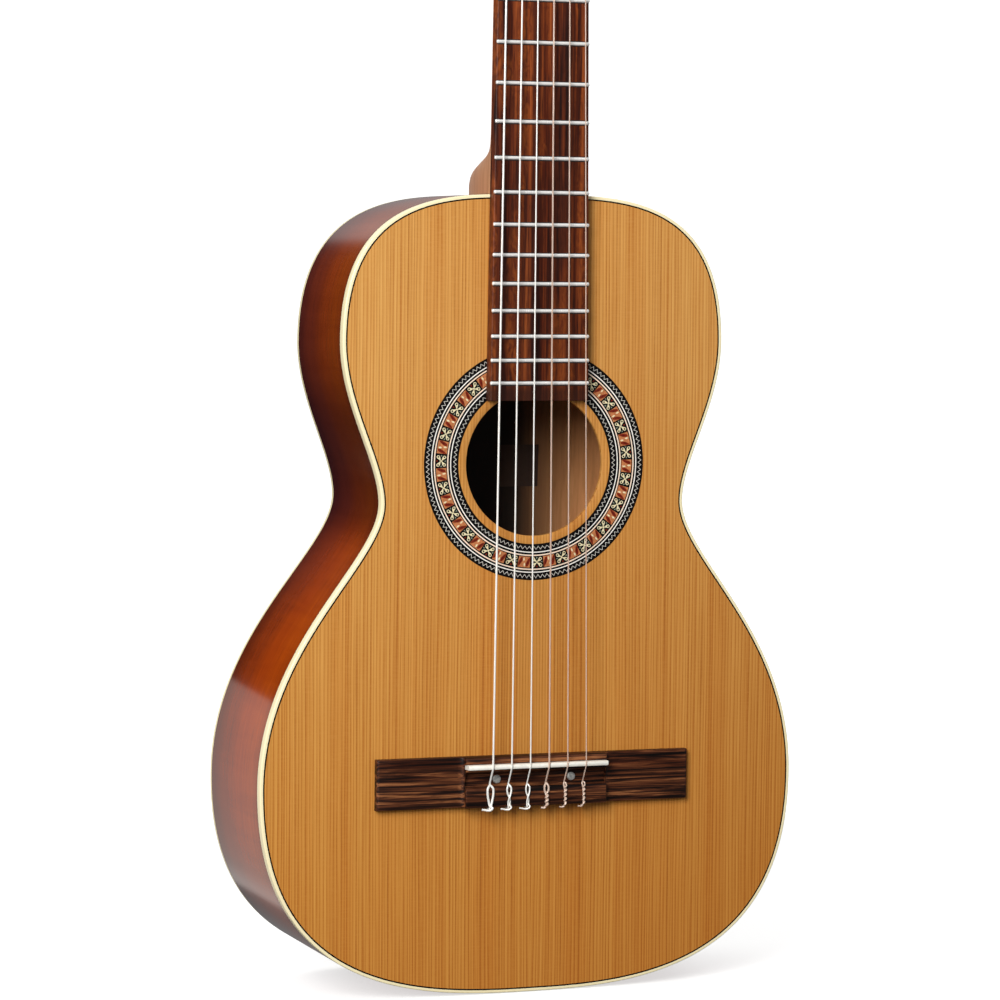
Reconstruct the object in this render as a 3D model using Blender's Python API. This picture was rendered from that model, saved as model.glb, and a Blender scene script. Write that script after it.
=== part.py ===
"""Classical guitar with a small pear-shaped body, 650 mm scale and twelve frets clear of the body.

Frame while modelling: X across the guitar (treble side +X), Y through the body (soundboard face y = 0,
the back towards +Y), Z up the strings from the tail (z = 0). The empty "guitar" then moves everything so
that the origin is the bottom centre of the bounding box.
"""
import math

import bmesh
import bpy
import numpy as np
from mathutils import Matrix, Vector

for _o in list(bpy.data.objects):
    bpy.data.objects.remove(_o)

MM = 0.001

# ---------------------------------------------------------------- driving dimensions (mm)
SCALE = 650.0                # nut to nominal saddle
Z_BRIDGE_LINE = 134.0        # nominal saddle line, where the fret rule starts
Z_NUT = Z_BRIDGE_LINE + SCALE
SADDLE_SETBACK = 1.5         # compensation behind the nominal line
FRETS = 19
BODY_LENGTH = 458.0
LOWER_BOUT = (162.5, 122.0)  # half width, height of the widest point
WAIST = (92.0, 282.5)
UPPER_BOUT = (115.5, 374.5)
DEPTH_TAIL, DEPTH_HEEL = 108.5, 82.5
TOP_T, BACK_T, RIB_T = 2.5, 2.5, 2.2
BINDING_W, BINDING_H = 1.8, 5.5
BACK_BINDING_H = 3.4
GAP = 0.1                    # glue line between neighbouring pieces
HOLE_R, HOLE_Z = 41.5, 304.8
ROSETTE_IN, ROSETTE_OUT, ROSETTE_T = 46.2, 66.9, 1.2
BOARD_T = 7.0                # fingerboard thickness
BOARD_END_Z = 340.8
NUT_HALF_W, FRET12_HALF_W = 25.5, 28.8
NUT_T, NUT_TOP = 5.0, 9.2
BRIDGE_HALF, BLOCK_HALF = 95.0, 43.0
BRIDGE_Z0, BRIDGE_Z1 = 109.0, 138.0
SADDLE_TOP, SADDLE_T = 13.0, 2.8
STRING_D = {1: 0.71, 2: 0.82, 3: 1.02, 4: 0.76, 5: 0.89, 6: 1.10}
SPREAD_SADDLE, SPREAD_NUT = 57.0, 43.5
HEAD_TILT = math.radians(15.0)
HEAD_Y0, HEAD_Z0 = -1.6, Z_NUT + NUT_T + GAP
HEAD_BACK = 20.0             # head thickness with its veneer
VENEER_T = 1.5
SLOT_IN, SLOT_OUT, SLOT_H0, SLOT_H1 = 8.0, 23.0, 16.0, 132.0
ROLLER_H = (45.0, 80.0, 115.0)
ROLLER_N = -9.5              # roller axis below the head's face
ROLLER_R = 5.0
HEAD_SIDE = 36.5
TEETH, MODULE = 14, 0.8
GEAR_R = TEETH * MODULE / 2
WORM_R = 2.4
GEAR_X0, GEAR_X1 = 39.9, 42.9
WORM_X = (GEAR_X0 + GEAR_X1) / 2
Y_MID = 47.1664             # half way between the front of the strings and the back

ROOT = bpy.data.objects.new("guitar", None)
bpy.context.scene.collection.objects.link(ROOT)
ROOT.location = (0, -Y_MID * MM, 0)

# ---------------------------------------------------------------- materials
def material(name, colour, rough, metal=0.0):
    m = bpy.data.materials.new(name)
    m.use_nodes = True
    b = m.node_tree.nodes["Principled BSDF"]
    b.inputs["Base Color"].default_value = (*colour, 1)
    b.inputs["Roughness"].default_value = rough
    b.inputs["Metallic"].default_value = metal
    return m


CEDAR = material("cedar", (0.60, 0.33, 0.12), 0.35)
SPRUCE = material("brace_spruce", (0.66, 0.50, 0.30), 0.6)
CHERRY = material("stained_cherry", (0.18, 0.045, 0.015), 0.2)
MAPLE = material("neck_maple", (0.52, 0.33, 0.20), 0.35)
ROSEWOOD = material("rosewood", (0.13, 0.045, 0.025), 0.45)
IVORY = material("cream_plastic", (0.88, 0.80, 0.58), 0.3)
BONE = material("bone", (0.85, 0.82, 0.72), 0.35)
NICKEL = material("nickel", (0.75, 0.75, 0.74), 0.22, 1.0)
BRASS = material("plated_steel", (0.70, 0.66, 0.56), 0.25, 1.0)
NYLON = material("nylon", (0.86, 0.85, 0.80), 0.25)
WOUND = material("silver_winding", (0.80, 0.78, 0.74), 0.3, 1.0)
MOSAIC = material("mosaic", (0.20, 0.10, 0.07), 0.4)


# ---------------------------------------------------------------- mesh helpers (all take mm)
def finish(name, me, mat, smooth=None, matrix=None):
    bm = bmesh.new()
    bm.from_mesh(me)
    bmesh.ops.recalc_face_normals(bm, faces=bm.faces)
    bm.to_mesh(me)
    bm.free()
    me.materials.append(mat)
    o = bpy.data.objects.new(name, me)
    bpy.context.scene.collection.objects.link(o)
    o.parent = ROOT
    if matrix is not None:
        o.matrix_local = matrix
    if smooth:
        me.shade_smooth()
        me.set_sharp_from_angle(angle=math.radians(smooth))
    return o


def solid(name, verts, faces, mat, smooth=None, matrix=None):
    me = bpy.data.meshes.new(name)
    me.from_pydata([tuple(c * MM for c in v) for v in verts], [], faces)
    return finish(name, me, mat, smooth, matrix)


def prism(name, loop, low, high, mat, to_xyz, smooth=None, matrix=None):
    """A closed loop of 2-D points given thickness. low and high may be numbers or functions of the point."""
    n = len(loop)
    f = (lambda v: v if callable(v) else (lambda p: v))
    a, b = f(low), f(high)
    verts = [to_xyz(p, a(p)) for p in loop] + [to_xyz(p, b(p)) for p in loop]
    faces = [tuple(range(n)), tuple(range(2 * n - 1, n - 1, -1))]
    faces += [(i, (i + 1) % n, n + (i + 1) % n, n + i) for i in range(n)]
    return solid(name, verts, faces, mat, smooth, matrix)


def loft(name, rings, mat, smooth=None, matrix=None):
    """Closed rings of equal length, joined in order and capped."""
    n = len(rings[0])
    verts = [v for r in rings for v in r]
    faces = [tuple(range(n)), tuple(range(len(verts) - 1, len(verts) - 1 - n, -1))]
    for k in range(len(rings) - 1):
        faces += [(k * n + i, k * n + (i + 1) % n, (k + 1) * n + (i + 1) % n, (k + 1) * n + i) for i in range(n)]
    return solid(name, verts, faces, mat, smooth, matrix)


def boolean(target, other, operation, name):
    other.hide_render = True
    other.display_type = "WIRE"
    m = target.modifiers.new(name, "BOOLEAN")
    m.operation = operation
    m.object = other
    m.solver = "EXACT"
    return m


def in_xz(p, y):
    return (p[0], y, p[1])


def circle(r, n, cx=0.0, cy=0.0, turn=0.0):
    return [(cx + r * math.cos(2 * math.pi * i / n + turn), cy + r * math.sin(2 * math.pi * i / n + turn)) for i in range(n)]


# ---------------------------------------------------------------- body outline
def bezier(p0, p1, p2, p3, n):
    t = np.linspace(0, 1, n)[:, None]
    p0, p1, p2, p3 = (np.array(p, float) for p in (p0, p1, p2, p3))
    return (1 - t) ** 3 * p0 + 3 * t * (1 - t) ** 2 * p1 + 3 * t * t * (1 - t) * p2 + t ** 3 * p3


def half_outline(offset=0.0, n=80):
    """Right half of the outline, tail centre to neck centre, drawn as four curves through the tail, the lower
    bout, the waist, the upper bout and the neck joint, then moved in by offset."""
    (wl, zl), (ww, zw), (wu, zu) = LOWER_BOUT, WAIST, UPPER_BOUT
    parts = [
        bezier((0, 0), (57.0, 0), (wl, 0), (wl, zl), n),
        bezier((wl, zl), (wl, zl + 82.5), (ww, zw - 33.0), (ww, zw), n),
        bezier((ww, zw), (ww, zw + 24.0), (wu, zu - 36.0), (wu, zu), n),
        bezier((wu, zu), (wu, zu + 88.0), (45.5, BODY_LENGTH), (0, BODY_LENGTH), n),
    ]
    p = np.vstack([parts[0]] + [q[1:] for q in parts[1:]])
    t = np.gradient(p, axis=0)
    t[0], t[-1] = (1, 0), (-1, 0)
    t /= np.linalg.norm(t, axis=1)[:, None]
    return p + np.c_[-t[:, 1], t[:, 0]] * offset


OUTLINE_POINTS = 44


def stations(keep=1.6):
    """Which points of half_outline every piece uses, closer together where it bends, so that neighbours follow
    the same chords and never cut into each other."""
    p = half_outline()
    d = np.linalg.norm(np.diff(p, axis=0), axis=1)
    a = np.unwrap(np.arctan2(np.diff(p[:, 1]), np.diff(p[:, 0])))
    turn = np.abs(np.diff(a, prepend=a[0]))
    s = np.r_[0, np.cumsum(d / d.sum() + keep * turn / turn.sum())]
    return sorted(set(int(np.argmin(np.abs(s - u))) for u in np.linspace(0, s[-1], OUTLINE_POINTS)))


def half_points(offset):
    h = half_outline(offset)[stations()]
    h[0, 0] = h[-1, 0] = 0
    return h


def side_curve(offset, x_tail, x_neck):
    """Points of the offset half outline from x = x_tail at the tail to x = x_neck at the neck."""
    p = half_points(offset)
    i = int(np.argmax(p[:, 0] > x_tail))
    j = len(p) - 1 - int(np.argmax(p[::-1, 0] > x_neck))
    a = p[i - 1] + (p[i] - p[i - 1]) * (x_tail - p[i - 1, 0]) / (p[i, 0] - p[i - 1, 0])
    b = p[j] + (p[j + 1] - p[j]) * (x_neck - p[j, 0]) / (p[j + 1, 0] - p[j, 0])
    return np.vstack([a, p[i:j + 1], b])


def full_loop(offset):
    h = half_points(offset)
    return [tuple(q) for q in h] + [(-q[0], q[1]) for q in h[-2:0:-1]]


def back_y(z):
    """Outer face of the back, which slopes from the tail to the heel."""
    return DEPTH_TAIL + (DEPTH_HEEL - DEPTH_TAIL) * z / BODY_LENGTH


# ---------------------------------------------------------------- soundboard, rosette, back
soundboard = prism("soundboard", full_loop(BINDING_W + GAP), 0, TOP_T, CEDAR, in_xz, 40)
hole = prism("cut_soundhole", circle(HOLE_R, 48, 0, HOLE_Z), -5, 8, CEDAR, in_xz)
boolean(soundboard, hole, "DIFFERENCE", "soundhole")


def ring(name, r0, r1, y0, y1, n, mat):
    verts, faces = [], []
    for r, y in ((r0, y0), (r1, y0), (r1, y1), (r0, y1)):
        verts += [in_xz(p, y) for p in circle(r, n, 0, HOLE_Z)]
    for k in range(4):
        a, b = k * n, ((k + 1) % 4) * n
        faces += [(a + i, a + (i + 1) % n, b + (i + 1) % n, b + i) for i in range(n)]
    return solid(name, verts, faces, mat, 40)


groove = ring("cut_rosette", ROSETTE_IN - GAP, ROSETTE_OUT + GAP, -4, ROSETTE_T + GAP, 48, CEDAR)
boolean(soundboard, groove, "DIFFERENCE", "rosette_groove")
ring("rosette", ROSETTE_IN, ROSETTE_OUT, 0, ROSETTE_T, 48, MOSAIC)

prism("back_plate", full_loop(BINDING_W + GAP), lambda p: back_y(p[1]) - BACK_T, lambda p: back_y(p[1]), CHERRY, in_xz, 40)

# ---------------------------------------------------------------- bindings round the top and back edges
def edging(name, y0, y1, mat):
    outer, inner = full_loop(0), full_loop(BINDING_W)
    n = len(outer)
    verts = [in_xz(p, y(p[1])) for loop, y in ((outer, y0), (inner, y0), (inner, y1), (outer, y1)) for p in loop]
    faces = [(k * n + i, k * n + (i + 1) % n, ((k + 1) % 4) * n + (i + 1) % n, ((k + 1) % 4) * n + i) for k in range(4) for i in range(n)]
    return solid(name, verts, faces, mat, 40)


edging("top_binding", lambda z: 0.0, lambda z: BINDING_H, IVORY)
edging("back_binding", lambda z: back_y(z) - BACK_BINDING_H, back_y, IVORY)

# ---------------------------------------------------------------- ribs and their linings
TENON_HALF = 12.0
RIB_Y0 = BINDING_H + GAP


def strip(name, side, off0, off1, x_tail, x_neck, low, high, mat):
    a, b = side_curve(off0, x_tail, x_neck), side_curve(off1, x_tail, x_neck)
    loop = [(side * p[0], p[1]) for p in a] + [(side * p[0], p[1]) for p in b[::-1]]
    return prism(name, loop, low, high, mat, in_xz, 40)


for side, tag in ((-1, "bass"), (1, "treble")):
    strip("rib_" + tag, side, 0, RIB_T, GAP / 2, TENON_HALF + GAP, RIB_Y0, lambda p: back_y(p[1]) - BACK_BINDING_H - GAP, CHERRY)
    in0, in1 = RIB_T + GAP, RIB_T + GAP + 7.0
    lining = strip("lining_" + tag, side, in0, in1, 33.0, 26.5, TOP_T + GAP, TOP_T + GAP + 14, SPRUCE)
    low = strip("add_back_lining_" + tag, side, in0, in1, 33.0, 26.5,
                lambda p: back_y(p[1]) - BACK_T - GAP - 14, lambda p: back_y(p[1]) - BACK_T - GAP, SPRUCE)
    boolean(lining, low, "UNION", "back_strip")
    curve = half_outline(in0 + 0.8)
    for k, zc in enumerate((60.0, 175.0, 374.0)):
        i = int(np.argmin(np.where(curve[:, 0] > 40, np.abs(curve[:, 1] - zc), 1e9)))
        c, t = curve[i], curve[i + 1] - curve[i - 1]
        t = t / np.linalg.norm(t)
        m = np.array([-t[1], t[0]])
        loop = [tuple(c + t * a + m * b) for a, b in ((-4, 0), (4, 0), (4, 3), (-4, 3))]
        loop = [(side * p[0], p[1]) for p in loop]
        strut = prism(f"add_side_strut_{tag}_{k}", loop, TOP_T + 8, lambda p: back_y(p[1]) - BACK_T - 8, SPRUCE, in_xz)
        boolean(lining, strut, "UNION", f"side_strut_{k}")

# ---------------------------------------------------------------- tail block
p = half_points(RIB_T + GAP)
i = int(np.argmax(p[:, 0] > 32.0))
arc = np.vstack([p[:i], p[i - 1] + (p[i] - p[i - 1]) * (32.0 - p[i - 1, 0]) / (p[i, 0] - p[i - 1, 0])])
loop = [(-q[0], q[1]) for q in arc[::-1]] + [tuple(q) for q in arc[1:]] + [(32.0, 21.0), (-32.0, 21.0)]
prism("tail_block", loop, TOP_T + GAP, lambda p: back_y(p[1]) - BACK_T - GAP, MAPLE, in_xz)

# ---------------------------------------------------------------- bracing
def half_width_at(z, width, offset):
    """The narrowest half width inside the offset outline over a bar of this width at height z."""
    p = half_outline(offset)
    return min(float(np.interp(z + a * width / 2, p[:, 1], p[:, 0])) for a in (-1, 0, 1))


def cross_bar(name, z, width, height, mat, lift=0.0):
    """A bar across the soundboard with its ends brought down to 5 mm."""
    x = half_width_at(z, width, RIB_T + GAP + 7.0) - 2.0
    y0, y1 = TOP_T + GAP + lift, TOP_T + GAP + height
    prof = [(-x, y0), (x, y0), (x, y0 + 5), (x - 28, y1), (-x + 28, y1), (-x, y0 + 5)]
    return prism(name, prof, z - width / 2, z + width / 2, mat, lambda p, h: (p[0], p[1], h))


cross_bar("harmonic_bar_upper", HOLE_Z + 62.0, 6.0, 15.0, SPRUCE)
y0 = TOP_T + GAP
patch = prism("fan_bracing", [(-88, 105), (88, 105), (88, 141), (-88, 141)], y0 + 0.05, y0 + 1.8, SPRUCE, in_xz)
for k, (xt, xb) in enumerate(((-36, -104), (-18, -52), (0, 0), (18, 52), (36, 104))):
    zt, zb = HOLE_Z - 54.0, 34.0 + abs(xb) * 0.28
    d = Vector((xb - xt, zb - zt)).normalized()
    s = Vector((-d.y, d.x)) * 2.2
    loop = [(xt + s.x, zt + s.y), (xt - s.x, zt - s.y), (xb - s.x, zb - s.y), (xb + s.x, zb + s.y)]
    bar = prism(f"add_fan_{k}", loop, y0, y0 + 5.5, SPRUCE, in_xz)
    boolean(patch, bar, "UNION", f"fan_{k}")
# the struts end in the harmonic bar below the sound hole
bar = cross_bar("add_harmonic_bar_lower", HOLE_Z - 54.0, 6.0, 15.0, SPRUCE, 0.03)
boolean(patch, bar, "UNION", "lower_bar")

SLOPE = math.atan((DEPTH_TAIL - DEPTH_HEEL) / BODY_LENGTH)


def on_back(p, h):
    """(x, z) on the inner face of the back, h mm in from it."""
    return (p[0], back_y(p[1]) - BACK_T - GAP - h, p[1])


seam = prism("back_bracing", [(-9, 26), (9, 26), (9, 414), (-9, 414)], 0.05, 2.0, SPRUCE, on_back)
for k, zc in enumerate((92.0, 205.0, 365.0)):
    x = half_width_at(zc, 8.0, RIB_T + GAP + 7.0) - 2.0
    bar = prism(f"add_back_bar_{k}", [(-x, zc - 4), (x, zc - 4), (x, zc + 4), (-x, zc + 4)], 0, 12.0, SPRUCE, on_back)
    boolean(seam, bar, "UNION", f"bar_{k}")


# ---------------------------------------------------------------- head frame
def head(x, h, n):
    """A point at x, h along the head from the nut and n in front of its face."""
    s, c = math.sin(HEAD_TILT), math.cos(HEAD_TILT)
    return (x, HEAD_Y0 + h * s - n * c, HEAD_Z0 + h * c + n * s)


HEAD_OUTLINE = [(25.5, -2.0), (25.6, 2.0), (27.0, 8.0), (30.0, 14.0), (33.6, 19.0), (36.0, 23.5), (36.5, 26.5),
                (36.5, 137.0), (36.9, 150.0), (36.6, 160.0), (34.6, 168.5), (30.0, 175.0), (22.0, 180.0), (11.0, 183.3), (0.0, 184.5)]


def head_loop(h0=None):
    pts = [p for p in HEAD_OUTLINE if h0 is None or p[1] > h0]
    if h0 is not None:
        pts = [(25.5, h0)] + pts
    return pts + [(-x, h) for x, h in pts[-2::-1]]


def slot_loop(side):
    r, xc = (SLOT_OUT - SLOT_IN) / 2, side * (SLOT_IN + SLOT_OUT) / 2
    top = [(xc + r * math.cos(a), SLOT_H1 - r + r * math.sin(a)) for a in np.linspace(0, math.pi, 7)]
    low = [(xc + r * math.cos(a), SLOT_H0 + r + r * math.sin(a)) for a in np.linspace(math.pi, 2 * math.pi, 7)]
    return top + low


# ---------------------------------------------------------------- neck: shaft, heel, foot inside the body, head
def board_half(z):
    """Half width of the fingerboard, straight from the nut to its end."""
    return NUT_HALF_W + (FRET12_HALF_W - NUT_HALF_W) * (Z_NUT - z) / (SCALE / 2)


HEEL_FACE = BODY_LENGTH + 0.15
NECK_SECTIONS = [(HEEL_FACE, 92.0), (466.0, 91.0), (470.0, 87.0), (473.5, 78.0), (476.5, 64.0), (479.0, 46.0), (481.5, 31.0),
                 (485.0, 22.5), (490.0, 18.8), (500.0, 17.3), (600.0, 16.6), (700.0, 16.0), (776.0, 15.3), (Z_NUT + NUT_T, 15.2)]
rings = []
for z, depth in NECK_SECTIONS:
    w = board_half(z)
    r = []
    for a in np.linspace(0, math.pi, 15):
        r.append((w * math.cos(a), min(depth * math.sin(a) ** 0.92 if 0 < a < math.pi - 1e-6 else 0.0, DEPTH_HEEL - GAP), z))
    rings.append(r)
neck = loft("neck", rings, MAPLE, 50)
foot = prism("add_foot", [(-25, 421), (25, 421), (25, 455.3), (-25, 455.3)], TOP_T + GAP, lambda p: back_y(p[1]) - BACK_T - GAP, MAPLE, in_xz)
tenon = prism("add_tenon", [(-TENON_HALF, 440), (TENON_HALF, 440), (TENON_HALF, 463), (-TENON_HALF, 463)], RIB_Y0 + 1, 77.0, MAPLE, in_xz)
block = prism("add_head", head_loop(), -HEAD_BACK, -VENEER_T - GAP, MAPLE, lambda p, n: head(p[0], p[1], n))
for o, name in ((foot, "foot"), (tenon, "tenon"), (block, "head")):
    boolean(neck, o, "UNION", name)
for side, tag in ((-1, "bass"), (1, "treble")):
    cut = prism("cut_slot_" + tag, slot_loop(side), -HEAD_BACK - 6, 6, MAPLE, lambda p, n: head(p[0], p[1], n))
    boolean(neck, cut, "DIFFERENCE", "slot_" + tag)
    for k, h in enumerate(ROLLER_H):
        bore = loft(f"cut_roller_{tag}_{k}", [[head(side * x, h + a, ROLLER_N + b) for a, b in circle(ROLLER_R + 0.45, 16)] for x in (3.0, HEAD_SIDE + 5)], MAPLE)
        boolean(neck, bore, "DIFFERENCE", f"roller_{tag}_{k}")
# the nut's seat stays level with the top of the shaft
seat = prism("cut_nut_seat", [(-30, Z_NUT - 12), (30, Z_NUT - 12), (30, HEAD_Z0 - GAP / 2), (-30, HEAD_Z0 - GAP / 2)], -12, 0.0, MAPLE, in_xz)
boolean(neck, seat, "DIFFERENCE", "nut_seat")

veneer = prism("head_veneer", head_loop(0.3), -VENEER_T, 0, ROSEWOOD, lambda p, n: head(p[0], p[1], n))
for side, tag in ((-1, "bass"), (1, "treble")):
    cut = prism("cut_veneer_slot_" + tag, slot_loop(side), -HEAD_BACK, 6, ROSEWOOD, lambda p, n: head(p[0], p[1], n))
    boolean(veneer, cut, "DIFFERENCE", "slot_" + tag)


# ---------------------------------------------------------------- fingerboard, frets, nut
def fret_z(n):
    return Z_BRIDGE_LINE + SCALE * 2 ** (-n / 12)


TANG_T, TANG_D = 0.5, 1.6
profile = [(-GAP, BOARD_END_Z), (-BOARD_T, BOARD_END_Z)]
for n in range(FRETS, 0, -1):
    z, t = fret_z(n), TANG_T / 2 + 0.1
    profile += [(-BOARD_T, z - t), (-BOARD_T + TANG_D + 0.2, z - t), (-BOARD_T + TANG_D + 0.2, z + t), (-BOARD_T, z + t)]
profile += [(-BOARD_T, Z_NUT), (-GAP, Z_NUT)]
nv = len(profile)
verts = [(-board_half(z), y, z) for y, z in profile] + [(board_half(z), y, z) for y, z in profile]
faces = [tuple(range(nv)), tuple(range(2 * nv - 1, nv - 1, -1))] + [(i, (i + 1) % nv, nv + (i + 1) % nv, nv + i) for i in range(nv)]
solid("fingerboard", verts, faces, ROSEWOOD)

for n in range(1, FRETS + 1):
    z, w = fret_z(n), board_half(fret_z(n)) - 0.2
    y = -BOARD_T - 0.05
    crown = [(z + 1.15 * math.cos(a), y - 1.0 * math.sin(a)) for a in np.linspace(0, math.pi, 6)]
    sect = crown + [(z - TANG_T / 2, y), (z - TANG_T / 2, y + TANG_D), (z + TANG_T / 2, y + TANG_D), (z + TANG_T / 2, y)]
    prism(f"fret_{n:02d}", sect, -w, w, NICKEL, lambda p, x: (x, p[1], p[0]))

sect = [(-GAP, Z_NUT + GAP), (-NUT_TOP + 0.3, Z_NUT + GAP), (-NUT_TOP, Z_NUT + 0.9), (-NUT_TOP + 2.2, Z_NUT + NUT_T), (-GAP, Z_NUT + NUT_T)]
prism("nut", sect, -NUT_HALF_W + 0.2, NUT_HALF_W - 0.2, BONE, lambda p, x: (x, p[0], p[1]))

# ---------------------------------------------------------------- bridge, saddle, bolt caps
Z_SADDLE = Z_BRIDGE_LINE - SADDLE_SETBACK
B0, B1 = BRIDGE_Z0, BRIDGE_Z1
CHANNEL_Z0, CHANNEL_Z1 = 120.3, 129.6
BLOCK_TOP, TIE_TOP, CHANNEL_Y, WING_Y = 9.3, 9.0, 3.9, 4.6
TIE_HOLE_Y = 4.9
slot_half = SADDLE_T / 2 + GAP
sect = [(-GAP, B0), (-TIE_TOP + 1.2, B0), (-TIE_TOP, B0 + 1.0), (-TIE_TOP, CHANNEL_Z0), (-CHANNEL_Y, CHANNEL_Z0 + 0.6), (-CHANNEL_Y, CHANNEL_Z1 - 1.5),
        (-BLOCK_TOP + 0.5, CHANNEL_Z1), (-BLOCK_TOP, CHANNEL_Z1 + 0.5), (-BLOCK_TOP, Z_SADDLE - slot_half), (-4.6, Z_SADDLE - slot_half),
        (-4.6, Z_SADDLE + slot_half), (-BLOCK_TOP, Z_SADDLE + slot_half), (-BLOCK_TOP, B1 - 2.0), (-BLOCK_TOP + 2.0, B1), (-GAP, B1)]
bridge = prism("bridge", sect, -BLOCK_HALF, BLOCK_HALF, ROSEWOOD, lambda p, x: (x, p[0], p[1]))
for side, tag in ((-1, "bass"), (1, "treble")):
    rings = []
    for x, top in ((BLOCK_HALF - 2.0, WING_Y), (BLOCK_HALF + 20, WING_Y), (BRIDGE_HALF, 3.2)):
        rings.append([(side * x, y, z) for y, z in ((-GAP, B0), (-top + 0.9, B0), (-top, B0 + 1.2), (-top, B1 - 1.2), (-top + 0.9, B1), (-GAP, B1))])
    boolean(bridge, loft("add_wing_" + tag, rings, ROSEWOOD), "UNION", "wing_" + tag)
STRINGS = (1, 2, 3, 4, 5, 6)


def saddle_x(k):
    return SPREAD_SADDLE / 2 - SPREAD_SADDLE / 5 * (k - 1)


def nut_x(k):
    return SPREAD_NUT / 2 - SPREAD_NUT / 5 * (k - 1)


for k in STRINGS:
    c = circle(1.05, 8, saddle_x(k), -TIE_HOLE_Y, math.pi / 8)
    boolean(bridge, loft(f"cut_tie_hole_{k}", [[(x, y, z) for x, y in c] for z in (B0 - 3, CHANNEL_Z0 + 3)], ROSEWOOD), "DIFFERENCE", f"tie_hole_{k}")
for side, tag in ((-1, "bass"), (1, "treble")):
    seat = prism("cut_bolt_" + tag, circle(2.7, 12, side * 22.8, 124.8), -CHANNEL_Y - 1.5, -2.4, ROSEWOOD, in_xz)
    boolean(bridge, seat, "DIFFERENCE", "bolt_" + tag)
    rings = [[(side * 22.8 + r * math.cos(a), y, 124.8 + r * math.sin(a)) for a in np.linspace(0, 2 * math.pi, 13)[:-1]]
             for r, y in ((2.5, -2.5), (2.5, -4.6), (1.6, -5.2))]
    loft("bolt_cap_" + tag, rings, NICKEL, 40)

sect = [(-4.7, Z_SADDLE - SADDLE_T / 2), (-SADDLE_TOP + 0.7, Z_SADDLE - SADDLE_T / 2), (-SADDLE_TOP, Z_SADDLE - 0.5), (-SADDLE_TOP, Z_SADDLE + 0.5),
        (-SADDLE_TOP + 0.7, Z_SADDLE + SADDLE_T / 2), (-4.7, Z_SADDLE + SADDLE_T / 2)]
prism("saddle", sect, -BLOCK_HALF + 0.4, BLOCK_HALF - 0.4, BONE, lambda p, x: (x, p[0], p[1]))


# ---------------------------------------------------------------- tuning machines
def tuner_matrix(side, h):
    """Local x points out of the head's side, local y up the head, local z out of its face; origin on the roller's axis."""
    s, c = math.sin(HEAD_TILT), math.cos(HEAD_TILT)
    o = head(0, h, ROLLER_N)
    return Matrix(((1, 0, 0, 0), (0, s, -c, o[1] * MM), (0, c, s, o[2] * MM), (0, 0, 0, 1)))


WORM_H = GEAR_R + WORM_R     # worm axis, up the head from the roller's axis
LEAD = math.pi * MODULE
THREAD_START = math.pi / 2  # the middle of the thread faces away from the wheel, so a tooth sits between two turns


def tuning_key(name, side, h):
    """Button, shaft and worm in one piece, turning about local z through its own origin."""
    base = tuner_matrix(side, h)
    m = base @ Matrix.Translation(Vector((side * WORM_X, WORM_H, 0)) * MM)
    seg = 12
    stations = [(8.3, 1.25, 1.25), (-5.0, 1.25, 1.25), (-11.6, 1.25, 1.25), (-12.2, 2.6, 2.6), (-13.4, 3.4, 6.2), (-16.5, 3.7, 8.6), (-21.5, 3.6, 8.2), (-25.0, 2.7, 5.6), (-26.2, 1.2, 2.6)]
    rings = [[(a * math.cos(t), b * math.sin(t), z) for t in [2 * math.pi * i / seg for i in range(seg)]] for z, a, b in stations]
    key = loft(name, rings, IVORY, 35, m)
    # collar under the thread, and the thread itself swept round the shaft
    core = loft("add_core_" + name, [[(1.65 * x, 1.65 * y, z) for x, y in circle(1, 12)] for z in (4.9, -4.9)], IVORY, None, m)
    boolean(key, core, "UNION", "core")
    steps, turns = 10, 3.2
    sect = [(1.4, -0.58), (2.98, -0.2), (2.98, 0.2), (1.4, 0.58)]
    rings = []
    for i in range(int(steps * turns) + 1):
        k = i / steps - turns / 2
        t = THREAD_START + 2 * math.pi * k
        z = LEAD * k
        rings.append([(side * r * math.cos(t), r * math.sin(t), z + dz) for r, dz in sect])
    boolean(key, loft("add_thread_" + name, rings, IVORY, None, m), "UNION", "thread")
    return key


def string_roller(name, side, h):
    """Roller in its slot with the wheel on its outer end, turning about local x through its own origin."""
    m = tuner_matrix(side, h)
    rings = [[(side * x, r * a, r * b) for a, b in circle(1, 16)] for x, r in
             ((3.4, ROLLER_R), (HEAD_SIDE - 0.3, ROLLER_R), (HEAD_SIDE - 0.3, 2.0), (GEAR_X1 - 0.5, 2.0))]
    roller = loft(name, rings, BONE, 35, m)
    twist = math.tan(math.atan(LEAD / (2 * math.pi * WORM_R))) / GEAR_R
    rings = []
    for x in (GEAR_X0, GEAR_X1):
        r = []
        for i in range(TEETH):
            for r_, a in ((4.55, -0.30), (6.15, -0.12), (6.15, 0.12), (4.55, 0.30)):
                t = 2 * math.pi * (i + a) / TEETH + (x - WORM_X) * twist
                r.append((side * x, r_ * math.cos(t), r_ * math.sin(t)))
        rings.append(r)
    boolean(roller, loft("add_gear_" + name, rings, BRASS, None, m), "UNION", "gear")
    screw = loft("add_screw_" + name, [[(side * x, r * a, r * b) for a, b in circle(1, 12)] for x, r in ((GEAR_X1 - 1, 2.6), (GEAR_X1 + 0.9, 2.6), (GEAR_X1 + 1.3, 1.9))], BRASS, None, m)
    boolean(roller, screw, "UNION", "screw")
    return roller


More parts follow.
